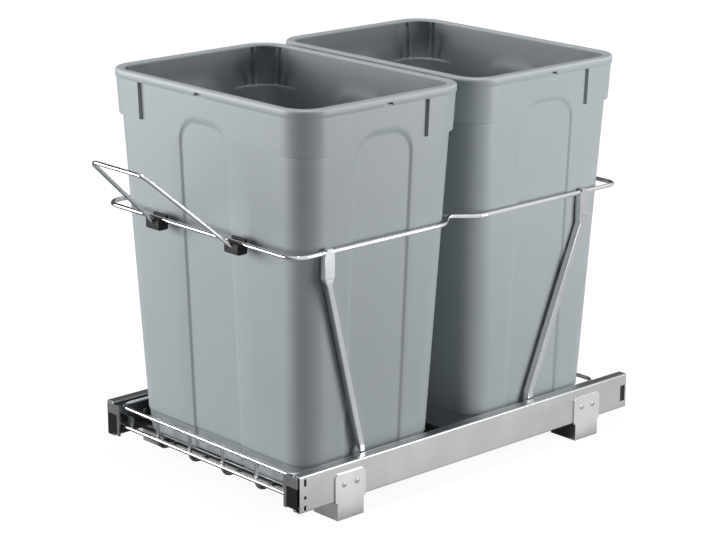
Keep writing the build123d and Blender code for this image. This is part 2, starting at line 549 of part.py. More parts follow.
# ---------------------------------------------------------------- hoop and struts
def hoop():
    """One closed wire round both bins, drawn in between them."""
    right = [
        (HOOP_X, HOOP_FRONT_Y, HOOP_Z),
        (HOOP_X, WAIST_FRONT_Y, HOOP_Z),
        (WAIST_X, WAIST_Y, HOOP_Z),
        (HOOP_X, WAIST_REAR_Y, HOOP_Z),
        (HOOP_X, HOOP_REAR_Y, HOOP_Z),
    ]
    left = [(-x, y, z) for x, y, z in reversed(right)]
    bends = [HOOP_FRONT_RADIUS, WAIST_SHOULDER_RADIUS, WAIST_TIP_RADIUS, WAIST_SHOULDER_RADIUS,
             HOOP_REAR_RADIUS]
    return wire_along(right + left, bends + list(reversed(bends)), HOOP_WIRE, closed=True)


def waist_tip_x():
    """Where the bent wire's centre line comes nearest to the middle."""
    reach = hypot(HOOP_X - WAIST_X, WAIST_Y - WAIST_FRONT_Y)
    half_angle = atan2(WAIST_Y - WAIST_FRONT_Y, HOOP_X - WAIST_X)
    return WAIST_X + WAIST_TIP_RADIUS * (reach / (WAIST_Y - WAIST_FRONT_Y) - 1) * sin(half_angle)


def divider_wire():
    """Straight wire between the two bins, welded to the tips of the hoop's waist."""
    end_x = waist_tip_x() - HOOP_WIRE / 2 + WELD
    return rod((-end_x, WAIST_Y, HOOP_Z), (end_x, WAIST_Y, HOOP_Z), HOOP_WIRE / 2)


def strut_section(x, y, z):
    """Channel section at one height: web at x, flanges towards the bin."""
    half = STRUT_WIDTH / 2
    inner = half - STRUT_SHEET
    tip = x - STRUT_DEPTH
    outline = [
        (x, y - half), (x, y + half), (tip, y + half), (tip, y + inner),
        (x - STRUT_SHEET, y + inner), (x - STRUT_SHEET, y - inner), (tip, y - inner), (tip, y - half),
    ]
    return Plane.XY.offset(z) * make_face(Polyline(*outline, close=True))


def strut(top_y, foot_y):
    """Channel with a slotted, hooked top for the hoop wire and a flat lug against the rail."""
    top_z = HOOP_Z + STRUT_TOP_ABOVE_HOOP
    foot = strut_section(RAIL_INNER_X, foot_y, STRUT_FOOT_TOP_Z)
    kink = strut_section(STRUT_TOP_X, top_y, STRUT_KINK_Z)
    top = strut_section(STRUT_TOP_X, top_y, top_z)
    body = loft([foot, kink], ruled=True) + loft([kink, top], ruled=True)
    half = STRUT_WIDTH / 2
    body += block((RAIL_INNER_X - STRUT_SHEET, RAIL_INNER_X), (foot_y - half, foot_y + half),
                  (STRUT_FOOT_BOTTOM_Z, STRUT_FOOT_TOP_Z))
    wire_r = HOOP_WIRE / 2
    slot_r = wire_r + STRUT_SLOT_CLEARANCE
    body -= rod((HOOP_X, top_y - half - 1, HOOP_Z), (HOOP_X, top_y + half + 1, HOOP_Z), slot_r)
    body -= block((HOOP_X - slot_r, HOOP_X + slot_r), (top_y - half - 1, top_y + half + 1),
                  (HOOP_Z, top_z + 1))
    hook_z = HOOP_Z + wire_r + STRUT_SLOT_CLEARANCE
    hook_y = (top_y - HOOK_WIDTH / 2, top_y + HOOK_WIDTH / 2)
    body += block((STRUT_TOP_X - STRUT_WEB_OUTSIDE_HOOP + STRUT_SLOT_CLEARANCE, STRUT_TOP_X),
                  hook_y, (top_z - 1, hook_z + STRUT_SHEET))
    body += block((HOOP_X - wire_r, STRUT_TOP_X), hook_y, (hook_z, hook_z + STRUT_SHEET))
    return body - rod((RAIL_INNER_X - 2 * STRUT_SHEET, foot_y, STRUT_BOLT_Z),
                      (RAIL_INNER_X + 1, foot_y, STRUT_BOLT_Z), STRUT_BOLT_RADIUS)


def strut_bolt(foot_y):
    """Bolt through the strut's lug and the rail."""
    head_x = RAIL_INNER_X - STRUT_SHEET
    body = rod((head_x, foot_y, STRUT_BOLT_Z), (INNER_FACE_X, foot_y, STRUT_BOLT_Z),
               STRUT_BOLT_RADIUS)
    return body + rod((head_x - STRUT_BOLT_HEAD_HEIGHT, foot_y, STRUT_BOLT_Z),
                      (head_x, foot_y, STRUT_BOLT_Z), STRUT_BOLT_HEAD_RADIUS)


save("retaining_hoop", hoop())
save("divider_wire", divider_wire())
strut_bolts = []
for side_name, side in SIDES.items():
    for end_name, (top_y, foot_y) in STRUTS.items():
        save(f"strut_{end_name}_{side_name}", mirror_side(strut(top_y, foot_y), side))
        strut_bolts.append(mirror_side(strut_bolt(foot_y), side))
save("strut_bolts", *strut_bolts)


# ---------------------------------------------------------------- pull bail
def bail_ends():
    """Inner end of the bail's right leg, and the corner where it meets the outer bar."""
    rise = radians(BAIL_ANGLE)
    start = Vector(BAIL_FOOT_X, HOOP_FRONT_Y + BAIL_START_Y, HOOP_Z + BAIL_START_Z)
    tip = Vector(BAIL_TIP_X, HOOP_FRONT_Y - BAIL_LENGTH * cos(rise), HOOP_Z + BAIL_LENGTH * sin(rise))
    return start, tip


def bail():
    """Bent wire handle, with both ends in the clips."""
    start, tip = bail_ends()
    points = [tuple(start), tuple(tip), (-tip.X, tip.Y, tip.Z), (-start.X, start.Y, start.Z)]
    return wire_along(points, [BAIL_CORNER_RADIUS, BAIL_CORNER_RADIUS], BAIL_WIRE)


def bail_clip():
    """Moulded clip that snaps over the hoop wire and turns on it; it grips one leg of the bail."""
    cut = CLIP_CHAMFER
    bore = HOOP_WIRE / 2 + CLIP_BORE_CLEARANCE
    outline = [
        (-CLIP_FRONT, cut - CLIP_BELOW), (cut - CLIP_FRONT, -CLIP_BELOW),
        (CLIP_BACK - cut, -CLIP_BELOW), (CLIP_BACK, cut - CLIP_BELOW), (CLIP_BACK, CLIP_PRONG_TOP),
        (bore, CLIP_PRONG_TOP), (bore, CLIP_FRONT_TOP), (cut - CLIP_FRONT, CLIP_FRONT_TOP),
        (-CLIP_FRONT, CLIP_FRONT_TOP - cut),
    ]
    profile = make_face(Polyline(*outline, close=True)) - Circle(bore)
    profile -= Pos(0, bore) * Rectangle(CLIP_MOUTH, 2 * bore)
    low_x = BAIL_FOOT_X - CLIP_LENGTH / 2
    side = Plane(origin=(low_x, HOOP_FRONT_Y, HOOP_Z), x_dir=(0, 1, 0), z_dir=(1, 0, 0))
    body = extrude(side * profile, CLIP_LENGTH)
    start, tip = bail_ends()
    return body - rod(tuple(start), tuple(tip), BAIL_WIRE / 2 + SOCKET_CLEARANCE)


save("pull_bail", bail())
for side_name, side in SIDES.items():
    save(f"bail_clip_{side_name}", mirror_side(bail_clip(), side))


# ---------------------------------------------------------------- bins
def bin_section(z, grow):
    """Rounded rectangle of the tapered wall at height z, grown outwards by grow."""
    half_x = LOW_HALF_X + BIN_TAPER_X * (z - TRAY_TOP_Z) + grow
    half_y = LOW_HALF_Y + BIN_TAPER_Y * (z - TRAY_TOP_Z) + grow
    return Plane.XY.offset(z) * RectangleRounded(2 * half_x, 2 * half_y, BIN_CORNER_RADIUS + grow)


def taper(z_low, z_high, grow=0.0):
    return loft([bin_section(z_low, grow), bin_section(z_high, grow)], ruled=True)


def corner_blocks(from_x, from_y, z_low, z_high):
    """Four blocks that reach from the given distances outwards past the corners."""
    blocks = [block((sx * from_x, sx * 2 * RIM_HALF_X), (sy * from_y, sy * 2 * RIM_HALF_Y),
                    (z_low, z_high)) for sx in (-1, 1) for sy in (-1, 1)]
    return blocks[0] + blocks[1] + blocks[2] + blocks[3]


def panel_prisms(half_width, top):
    """Arched prisms that pass through the walls of all four sides."""
    low = BIN_BASE - 5
    radius = min(PANEL_CORNER_RADIUS, half_width - 1)
    outline = Pos(0, (low + top) / 2) * RectangleRounded(2 * half_width, top - low, radius)
    outline += Pos(0, low + radius) * Rectangle(2 * half_width, 2 * radius)
    along_y = extrude(Plane.XZ * outline, 2 * RIM_HALF_Y, both=True)
    along_x = extrude(Plane.YZ * outline, 2 * RIM_HALF_X, both=True)
    return along_y + along_x


def bin_outside():
    """The moulding as if solid: plinth, tapered wall, corner collars, panels and rim."""
    under_rim = BIN_TOP - RIM_THICKNESS
    base = bin_section(BIN_BASE, -PLINTH_INSET - BIN_BASE_CHAMFER)
    chamfered = loft([base, bin_section(BIN_BASE + BIN_BASE_CHAMFER, -PLINTH_INSET)], ruled=True)
    body = chamfered + taper(BIN_BASE + BIN_BASE_CHAMFER, PLINTH_TOP, -PLINTH_INSET)
    body += taper(PLINTH_TOP, under_rim)
    collar = taper(COLLAR_BOTTOM, under_rim, COLLAR_STEP)
    body += collar & corner_blocks(COLLAR_FROM_X, COLLAR_FROM_Y, COLLAR_BOTTOM, under_rim)
    core = taper(BIN_BASE - 1, under_rim, -PANEL_DEPTH)
    body -= panel_prisms(PANEL_HALF_WIDTH, PANEL_TOP) - core
    return body


def bin_rim():
    """Flat rim with a turned-down skirt and a thumb notch in the middle of each side."""
    outline = RectangleRounded(2 * RIM_HALF_X, 2 * RIM_HALF_Y, RIM_CORNER_RADIUS)
    inside = RectangleRounded(2 * (RIM_HALF_X - RIM_SKIRT), 2 * (RIM_HALF_Y - RIM_SKIRT),
                              RIM_CORNER_RADIUS - RIM_SKIRT)
    body = extrude(Plane.XY.offset(BIN_TOP - RIM_HEIGHT) * outline, RIM_HEIGHT)
    body = fillet(body.faces().sort_by(Axis.Z)[-1].edges(), RIM_EDGE_RADIUS)
    hollow = RIM_HEIGHT - RIM_THICKNESS
    body -= extrude(Plane.XY.offset(BIN_TOP - RIM_HEIGHT) * inside, hollow)
    width, height = RIM_NOTCH
    z = (BIN_TOP - RIM_HEIGHT - 1, BIN_TOP - RIM_HEIGHT + height)
    body -= block((-width / 2, width / 2), (-2 * RIM_HALF_Y, 2 * RIM_HALF_Y), z)
    return body - block((-2 * RIM_HALF_X, 2 * RIM_HALF_X), (-width / 2, width / 2), z)


def pocket_ribs(z_low, z_high):
    """Upright ribs left standing in the pockets on both walls of each corner."""
    ribs = []
    near_x = (COLLAR_HALF_X - POCKET_RIB_ZONE, RIM_HALF_X)
    near_y = (COLLAR_HALF_Y - POCKET_RIB_ZONE, RIM_HALF_Y)
    for inner, outer in POCKET_RIBS:
        along_y = (COLLAR_HALF_Y - outer, COLLAR_HALF_Y - inner)
        along_x = (COLLAR_HALF_X - outer, COLLAR_HALF_X - inner)
        for x, y in ((near_x, along_y), (along_x, near_y)):
            for sx in (-1, 1):
                for sy in (-1, 1):
                    ribs.append(block((sx * x[0], sx * x[1]), (sy * y[0], sy * y[1]), (z_low, z_high)))
    return ribs


def bin_cavity():
    """Inside of the moulding: one wall within its outside, drawn in at the mouth under the rim."""
    floor_z = BIN_BASE + BIN_FLOOR
    under_skirt = BIN_TOP - RIM_HEIGHT
    under_rim = BIN_TOP - RIM_THICKNESS
    mouth = RectangleRounded(2 * MOUTH_HALF_X, 2 * MOUTH_HALF_Y, MOUTH_CORNER_RADIUS)
    body = taper(floor_z, PLINTH_TOP, -PLINTH_INSET - BIN_WALL)
    body += taper(PLINTH_TOP, under_skirt, -BIN_WALL)
    body += loft([bin_section(under_skirt, -BIN_WALL), Plane.XY.offset(under_rim) * mouth], ruled=True)
    body += extrude(Plane.XY.offset(under_rim) * mouth, 2 * RIM_THICKNESS)
    ledge = COLLAR_BOTTOM + BIN_WALL
    shallow = taper(ledge, under_skirt, POCKET_SHALLOW - BIN_WALL)
    body += shallow & corner_blocks(COLLAR_FROM_X + BIN_WALL, COLLAR_FROM_Y + BIN_WALL, ledge,
                                    under_skirt)
    deep = taper(ledge, under_skirt, COLLAR_STEP - BIN_WALL)
    deep &= corner_blocks(COLLAR_HALF_X - POCKET_REACH, COLLAR_HALF_Y - POCKET_REACH, ledge, under_skirt)
    for rib in pocket_ribs(ledge, under_skirt):
        deep -= rib
    body += deep
    core = taper(BIN_BASE - 1, under_skirt, -PANEL_DEPTH - BIN_WALL)
    body -= panel_prisms(PANEL_HALF_WIDTH + BIN_WALL, PANEL_TOP + BIN_WALL) - core
    return body


bin_shell = bin_outside() + bin_rim() - bin_cavity()
for bin_name, y_centre in BIN_Y.items():
    save(f"bin_{bin_name}", Pos(0, y_centre, 0) * bin_shell)
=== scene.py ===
"""The looks of a pull-out waste unit: two moulded bins in a chrome wire tray on drawer slides.

Frame: +X is the right side seen from the front, -Y is the front, +Z is up, origin on the floor
between the slides.  Lengths are in metres; MM turns a size in millimetres into metres.
"""
from math import cos, pi, radians, sin

import bmesh
import bpy
import numpy as np
from mathutils import Matrix, Vector


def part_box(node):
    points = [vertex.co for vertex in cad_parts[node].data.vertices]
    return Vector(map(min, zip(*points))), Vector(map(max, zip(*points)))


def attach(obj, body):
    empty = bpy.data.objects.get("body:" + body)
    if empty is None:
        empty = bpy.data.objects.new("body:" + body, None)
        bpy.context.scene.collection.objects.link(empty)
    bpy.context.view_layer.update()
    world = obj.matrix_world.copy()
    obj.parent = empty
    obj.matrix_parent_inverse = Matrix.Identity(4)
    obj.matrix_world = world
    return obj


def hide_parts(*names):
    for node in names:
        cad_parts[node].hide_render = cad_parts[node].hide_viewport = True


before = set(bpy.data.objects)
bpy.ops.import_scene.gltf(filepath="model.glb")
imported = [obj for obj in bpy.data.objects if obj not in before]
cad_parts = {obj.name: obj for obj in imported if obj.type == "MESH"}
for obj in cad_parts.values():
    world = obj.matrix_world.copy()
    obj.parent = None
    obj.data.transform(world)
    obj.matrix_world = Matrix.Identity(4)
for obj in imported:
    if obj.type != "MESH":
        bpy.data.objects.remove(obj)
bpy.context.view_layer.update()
scene = bpy.context.scene
MM = 0.001


# ---------------------------------------------------------------- camera
# The unit is seen from its front right corner, a little from above, from three metres away
# with a long lens, so that the slides hardly converge.
CAMERA_AZIMUTH = radians(47.4736)       # from the front round to the right
CAMERA_ELEVATION = radians(15.9933)
CAMERA_ROLL = radians(0.2335)
CAMERA_DISTANCE = 2.95996
CAMERA_TARGET = Vector((-0.027503, 0.001327, 0.215076))
CAMERA_LENS = 118.11                    # for a 36 mm wide sensor

back = Vector((sin(CAMERA_AZIMUTH) * cos(CAMERA_ELEVATION),
               -cos(CAMERA_AZIMUTH) * cos(CAMERA_ELEVATION), sin(CAMERA_ELEVATION)))
level = Vector((cos(CAMERA_AZIMUTH), sin(CAMERA_AZIMUTH), 0))
right = (Matrix.Rotation(CAMERA_ROLL, 3, back) @ level).normalized()
camera_data = bpy.data.cameras.new("camera")
camera_data.sensor_width = 36
camera_data.lens = CAMERA_LENS
camera = bpy.data.objects.new("camera", camera_data)
scene.collection.objects.link(camera)
turn = Matrix((right, back.cross(right), back)).transposed()
camera.matrix_world = Matrix.Translation(CAMERA_TARGET + back * CAMERA_DISTANCE) @ turn.to_4x4()
scene.camera = camera


# ---------------------------------------------------------------- studio
# A white sweep under two tall softboxes, one beyond each visible side, with a weak one overhead.
# The corner that faces the camera is left to the fill light, so it stays the darkest.
class Term:
    """A value in a node tree; an arithmetic operator on it adds the Math node for it."""

    def __init__(self, network, socket):
        self.network = network
        self.socket = socket

    def math(self, operation, *others):
        values = dict(enumerate((self,) + others))
        return self.network.node("ShaderNodeMath", {"operation": operation}, values)

    def __add__(self, other):
        return self.math("ADD", other)

    def __sub__(self, other):
        return self.math("SUBTRACT", other)

    def __rsub__(self, other):
        return self * -1 + other

    def __mul__(self, other):
        return self.math("MULTIPLY", other)

    __radd__ = __add__
    __rmul__ = __mul__

    def between(self, low, high):
        """0 below low, 1 above high, and a straight ramp from one to the other."""
        return self.network.node("ShaderNodeMapRange", {"clamp": True},
                                 {"Value": self, "From Min": low, "From Max": high})


class Network:
    """The node tree of a material or of the world, with one way to add a node to it."""

    def __init__(self, tree):
        self.tree = tree

    def feed(self, socket, value):
        if isinstance(value, Term):
            self.tree.links.new(value.socket, socket)
        elif isinstance(value, tuple) and socket.type == "RGBA":
            socket.default_value = (*value, 1.0)
        else:
            socket.default_value = value

    def node(self, kind, settings, sockets, output=0):
        made = self.tree.nodes.new(kind)
        for key, value in settings.items():
            setattr(made, key, value)
        for key, value in sockets.items():
            self.feed(made.inputs[key], value)
        return Term(self, made.outputs[output])

    def blend(self, amount, first, second):
        """Colour that goes from the first to the second as amount goes from 0 to 1."""
        sockets = {0: amount, 6: first, 7: second}
        return self.node("ShaderNodeMix", {"data_type": "RGBA"}, sockets, 2)

    def part(self, vector, axis):
        """One coordinate of a vector, or its amount along any other direction."""
        settings = {"operation": "DOT_PRODUCT"}
        return self.node("ShaderNodeVectorMath", settings, {0: vector, 1: axis}, 1)

    def rays(self):
        """1 for a ray straight from the camera, and 1 for a ray that a gloss or a glass sent."""
        path = self.node("ShaderNodeLightPath", {}, {}).socket.node
        glossy = Term(self, path.outputs["Is Glossy Ray"])
        through = Term(self, path.outputs["Is Transmission Ray"])
        return Term(self, path.outputs["Is Camera Ray"]), glossy.math("MAXIMUM", through)


class Finish(Network):
    """A material in the making."""

    def __init__(self, name):
        self.material = bpy.data.materials.new(name)
        self.material.use_nodes = True
        super().__init__(self.material.node_tree)
        self.shader = self.tree.nodes["Principled BSDF"]

    def place(self, scale):
        """Object coordinates, stretched by a scale for each axis."""
        where = self.node("ShaderNodeTexCoord", {}, {}, "Object")
        return self.node("ShaderNodeMapping", {}, {"Vector": where, "Scale": scale})

    def noise(self, scale, detail, stretch=(1, 1, 1)):
        sockets = {"Vector": self.place(stretch), "Scale": scale, "Detail": detail}
        return self.node("ShaderNodeTexNoise", {}, sockets)

    def bump(self, height, depth):
        sockets = {"Height": height, "Distance": depth, "Strength": 1.0}
        return self.node("ShaderNodeBump", {}, sockets)

    def openness(self, reach, samples, settings=None):
        """Share of open air round a point, as far as reach."""
        wanted = {"samples": samples, **(settings or {})}
        return self.node("ShaderNodeAmbientOcclusion", wanted, {"Distance": reach}, "AO")

    def done(self, **sockets):
        """Feeds the shader's sockets, each named by its label in small letters."""
        for key, value in sockets.items():
            label = key.replace("_", " ").title().replace("Ior", "IOR")
            self.feed(self.shader.inputs[label], value)
        return self.material


def mesh_object(name, vertices, faces, edges=()):
    mesh = bpy.data.meshes.new(name)
    mesh.from_pydata([tuple(v) for v in vertices], list(edges), list(faces))
    made = bpy.data.objects.new(name, mesh)
    scene.collection.objects.link(made)
    return made


LIGHTS_AIM = Vector((0, 0, 0.25))


def softbox(name, direction, distance, width, height, watts):
    """Area light that stands off from the unit's middle and faces it."""
    data = bpy.data.lights.new(name, "AREA")
    data.shape = "RECTANGLE"
    data.size = width
    data.size_y = height
    data.energy = watts
    made = bpy.data.objects.new(name, data)
    scene.collection.objects.link(made)
    away = Vector(direction).normalized()
    made.location = LIGHTS_AIM + away * distance
    made.rotation_euler = away.to_track_quat("Z", "Y").to_euler()


softbox("softbox_left", direction=(-0.56, -0.83, 0.16), distance=2.2,
        width=1.9, height=1.0, watts=45)
softbox("softbox_right", direction=(0.92, 0.39, 0.17), distance=1.25,
        width=0.6, height=0.7, watts=10.2)
softbox("softbox_top", direction=(0, 0, 1), distance=2.4,
        width=0.5, height=0.5, watts=26)

# The paper glows white to the camera, except in a painted shadow under the unit.  Metal sees it
# brighter towards the back right corner than in front, and not at all under the unit.
SWEEP_HALF = 12.0
PAPER_TONES = (0.17, 0.17, 0.17), (0.20, 0.20, 0.20)
PAPER_CLOUD = 40.0
PAPER_ROUGHNESS = 0.9
PAPER_NEAR_GLOW = 0.90                  # and 1 from far off
PAPER_FAR_OFF = (0.5, 1.2)
# How far the painted shadow goes to the right, the left, the back and the front, and where it
# ends.
SHADE_EDGES = {(1, 0, 0): (0.09, 0.125), (-1, 0, 0): (0.215, 0.265),
               (0, 1, 0): (0.178, 0.195), (0, -1, 0): (0.200, 0.216)}
SHADE_REACH = 0.6
SHADE_OPENNESS = (0.55, 0.75)           # no painted shadow where this much open air is above
MIRRORED_BESIDE = (0.17, 0.215)         # metal sees no paper nearer than this
MIRRORED_BEFORE = (0.23, 0.36)
MIRRORED_DIAGONAL = (0.707, 0.707, 0)
MIRRORED_BACK, MIRRORED_BEYOND = (-0.20, 0.10), (0.15, 0.55)
MIRRORED_LEVELS = (0.18, 0.54, -0.12)   # in front, more at the back, less far beyond

corners = [(-SWEEP_HALF, -SWEEP_HALF, 0), (SWEEP_HALF, -SWEEP_HALF, 0),
           (SWEEP_HALF, SWEEP_HALF, 0), (-SWEEP_HALF, SWEEP_HALF, 0)]
sweep = mesh_object("sweep", corners, [(0, 1, 2, 3)])
paper = Finish("white_paper")
in_view, mirrored = paper.rays()
spot = paper.node("ShaderNodeTexCoord", {}, {}, "Object")
beside = paper.part(spot, (1, 0, 0)).math("ABSOLUTE").between(*MIRRORED_BESIDE)
before = paper.part(spot, (0, 1, 0)).math("ABSOLUTE").between(*MIRRORED_BEFORE)
at_back = paper.part(spot, MIRRORED_DIAGONAL).between(*MIRRORED_BACK)
beyond = paper.part(spot, MIRRORED_DIAGONAL).between(*MIRRORED_BEYOND)
in_front, more_at_back, more_beyond = MIRRORED_LEVELS
mirror_glow = in_front + at_back * more_at_back + beyond * more_beyond
mirror_glow = beside.math("MAXIMUM", before) * mirror_glow
# Painted shadow: the glow is cut out where little open air is above, and in a fixed patch under
# the unit at rest.
clear = paper.openness(SHADE_REACH, 16).between(*SHADE_OPENNESS)
for axis, edge in SHADE_EDGES.items():
    clear = clear.math("MAXIMUM", paper.part(spot, axis).between(*edge))
far_off = paper.node("ShaderNodeVectorMath", {"operation": "LENGTH"}, {0: spot}, 1)
view_glow = PAPER_NEAR_GLOW + far_off.between(*PAPER_FAR_OFF) * (1 - PAPER_NEAR_GLOW)
glow = in_view * clear * view_glow + mirrored * mirror_glow
paper_colour = paper.blend(paper.noise(PAPER_CLOUD, 2.0), *PAPER_TONES)
sweep.data.materials.append(paper.done(
    base_color=paper.blend(mirrored, paper_colour, (0, 0, 0)), roughness=PAPER_ROUGHNESS,
    emission_color=paper.blend(glow, (0, 0, 0), (1, 1, 1)), emission_strength=1.0))
paper.material.cycles.emission_sampling = "NONE"

FILL_LEVEL = 0.02                       # at the horizon
FILL_OVERHEAD = 0.03
FILL_RISE = (0.1, 0.8)
MIRRORED_SKY = (0.08, 0.88)             # what metal sees away from and towards the bright side
BRIGHT_SIDE = (0.75, 0.20, 0.63)
BRIGHT_SIDE_EDGE = (0.0, 0.6)
world = bpy.data.worlds.new("studio")
scene.world = world
world.use_nodes = True
sky = Network(world.node_tree)
in_view, mirrored = sky.rays()
toward = sky.node("ShaderNodeTexCoord", {}, {}, "Generated")
height = sky.part(toward, (0, 0, 1)).between(*FILL_RISE)
fill = FILL_LEVEL + height * (FILL_OVERHEAD - FILL_LEVEL)
bright_side = sky.part(toward, BRIGHT_SIDE).between(*BRIGHT_SIDE_EDGE)
mirror_sky = MIRRORED_SKY[0] + bright_side * (MIRRORED_SKY[1] - MIRRORED_SKY[0])
background = world.node_tree.nodes["Background"]
unseen = fill + mirrored * (mirror_sky - fill)
sky.feed(background.inputs["Color"], (1.0, 1.0, 1.0))
sky.feed(background.inputs["Strength"], in_view + (1 - in_view) * unseen)
scene.view_settings.view_transform = "Standard"


# ---------------------------------------------------------------- drawer slides
# Full-extension ball slides, roll-formed from zinc-plated strip: an outer member on each side, a
# middle and an inner member, steel balls in their cages, and a black nylon stop at the rear.
MARK_SCALE = 900.0                      # rolling marks
MARK_STRETCH = 0.02
MARK_DEPTH = 0.015 * MM
MARK_SHARE = 0.3                        # of the colour; the clouds have the rest
MARK_ROUGHNESS = 0.12
PLATING_SCALE = 26.0                    # clouds in the zinc
PLATING_RANGE = (0.35, 0.7)


def steel(name, light, dark, roughness, along):
    """Plated steel with rolling marks along one axis and a faint cloudy plating."""
    finish = Finish(name)
    stretch = tuple(MARK_STRETCH if axis == along else 1.0 for axis in range(3))
    marks = finish.noise(MARK_SCALE, 3.0, stretch)
    plating = finish.noise(PLATING_SCALE, 4.0).between(*PLATING_RANGE)
    colour = finish.blend(plating * (1 - MARK_SHARE) + marks * MARK_SHARE, light, dark)
    return finish.done(base_color=colour, metallic=1.0,
                       roughness=roughness + marks * MARK_ROUGHNESS,
                       normal=finish.bump(marks, MARK_DEPTH))


def smooth(mesh, sharp_from):
    """Shades a mesh smooth, apart from edges that turn by this many degrees or more."""
    mesh.polygons.foreach_set("use_smooth", [True] * len(mesh.polygons))
    mesh.set_sharp_from_angle(angle=radians(sharp_from))


def final_mesh(made):
    """The object's mesh as its modifiers leave it."""
    bpy.context.view_layer.update()
    evaluated = made.evaluated_get(bpy.context.evaluated_depsgraph_get())
    return bpy.data.meshes.new_from_object(evaluated)


def eased_copy(name, node, width):
    """The node's own shape with its edges rounded, as a mesh of its own."""
    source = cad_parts[node]
    mesh = source.data.copy()
    mesh.materials.clear()
    made = bpy.data.objects.new(name, mesh)
    scene.collection.objects.link(made)
    work = bmesh.new()
    work.from_mesh(mesh)
    bmesh.ops.remove_doubles(work, verts=work.verts, dist=0.002 * MM)
    bmesh.ops.dissolve_limit(work, angle_limit=radians(1), verts=work.verts, edges=work.edges)
    work.to_mesh(mesh)
    work.free()
    bevel = made.modifiers.new("edges", "BEVEL")
    bevel.width = width
    bevel.segments = 2
    bevel.limit_method = "ANGLE"
    bevel.angle_limit = radians(35)
    bevel.harden_normals = True
    smooth(mesh, 35)
    made.data = final_mesh(made)
    made.modifiers.clear()
    return made


def wear(piece, node, body):
    """Makes a finished piece stand for its node and move with its body."""
    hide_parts(node)
    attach(piece, body)


def dress(node, suffix, width, material, body):
    """Makes an eased copy of a node's own shape stand for it, with a finish of its own."""
    piece = eased_copy(node + suffix, node, width)
    piece.data.materials.append(material)
    wear(piece, node, body)


def carry(node, material):
    """A hidden or small CAD node keeps its shape and takes a better material."""
    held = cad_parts[node]
    for slot in held.material_slots:
        slot.link = "OBJECT"
        slot.material = material


def moulded(name, scale, light, dark, roughness, depth, gloss):
    """Black moulded plastic or rubber with a fine grain."""
    finish = Finish(name)
    speckle = finish.noise(scale, 3.0)
    return finish.done(base_color=finish.blend(speckle, light, dark),
                       roughness=roughness + speckle * 0.2, normal=finish.bump(speckle, depth),
                       specular_ior_level=gloss)


slide_steel = steel("slide_zinc", (0.60, 0.61, 0.61), (0.52, 0.53, 0.53), 0.30, 1)
ball_steel = steel("ball_polish", (0.80, 0.81, 0.83), (0.74, 0.75, 0.77), 0.06, 0)
nylon = moulded("black_nylon", 1200.0, (0.006, 0.006, 0.007), (0.014, 0.014, 0.015), 0.45,
                0.03 * MM, 0.35)
SLIDE_EASE = 0.35 * MM
for side in ("left", "right"):
    dress("slide_outer_" + side, "_sheet", SLIDE_EASE, slide_steel, "fixed_slides")
    for part, material in (("slide_middle_", slide_steel), ("slide_inner_", slide_steel),
                           ("ball_cage_outer_", slide_steel), ("ball_cage_inner_", slide_steel),
                           ("balls_outer_", ball_steel), ("balls_inner_", ball_steel),
                           ("slide_bumper_", nylon)):
        carry(part + side, material)


# ---------------------------------------------------------------- floor brackets
# Four brackets folded from 2 mm zinc-plated sheet.  Each foot is screwed to the cabinet floor, and
# two rivets with drilled heads hold each bracket to the outer member of its slide.
class Recipe:
    """A Geometry Nodes tree in the making: named inputs, and one finished mesh at the end."""

    def __init__(self, name, inputs):
        self.tree = bpy.data.node_groups.new(name, "GeometryNodeTree")
        self.socket("Geometry", "NodeSocketGeometry")
        for label, value in inputs.items():
            kind = "NodeSocketInt" if isinstance(value, int) else "NodeSocketFloat"
            self.socket(label, kind).default_value = value
        self.socket("Finish", "NodeSocketMaterial")
        self.socket("Geometry", "NodeSocketGeometry", "OUTPUT")
        self.given = self.node("NodeGroupInput")

    def socket(self, label, kind, way="INPUT"):
        return self.tree.interface.new_socket(name=label, in_out=way, socket_type=kind)

    def node(self, kind, settings=None, sockets=None):
        made = self.tree.nodes.new(kind)
        for key, value in (settings or {}).items():
            setattr(made, key, value)
        for key, value in (sockets or {}).items():
            if isinstance(value, bpy.types.NodeSocket):
                self.tree.links.new(value, made.inputs[key])
            else:
                made.inputs[key].default_value = value
        return made.outputs

    def math(self, operation, *values):
        return self.node("ShaderNodeMath", {"operation": operation}, dict(enumerate(values)))[0]

    def attribute(self, name, kind):
        return self.node("GeometryNodeInputNamedAttribute", {"data_type": kind},
                         {"Name": name})["Attribute"]

    def done(self, mesh):
        real = self.node("GeometryNodeRealizeInstances", {}, {"Geometry": mesh})["Geometry"]
        finished = self.node("GeometryNodeSetMaterial", {},
                             {"Geometry": real, "Material": self.given["Finish"]})
        self.node("NodeGroupOutput", {}, {"Geometry": finished["Geometry"]})
        return self.tree


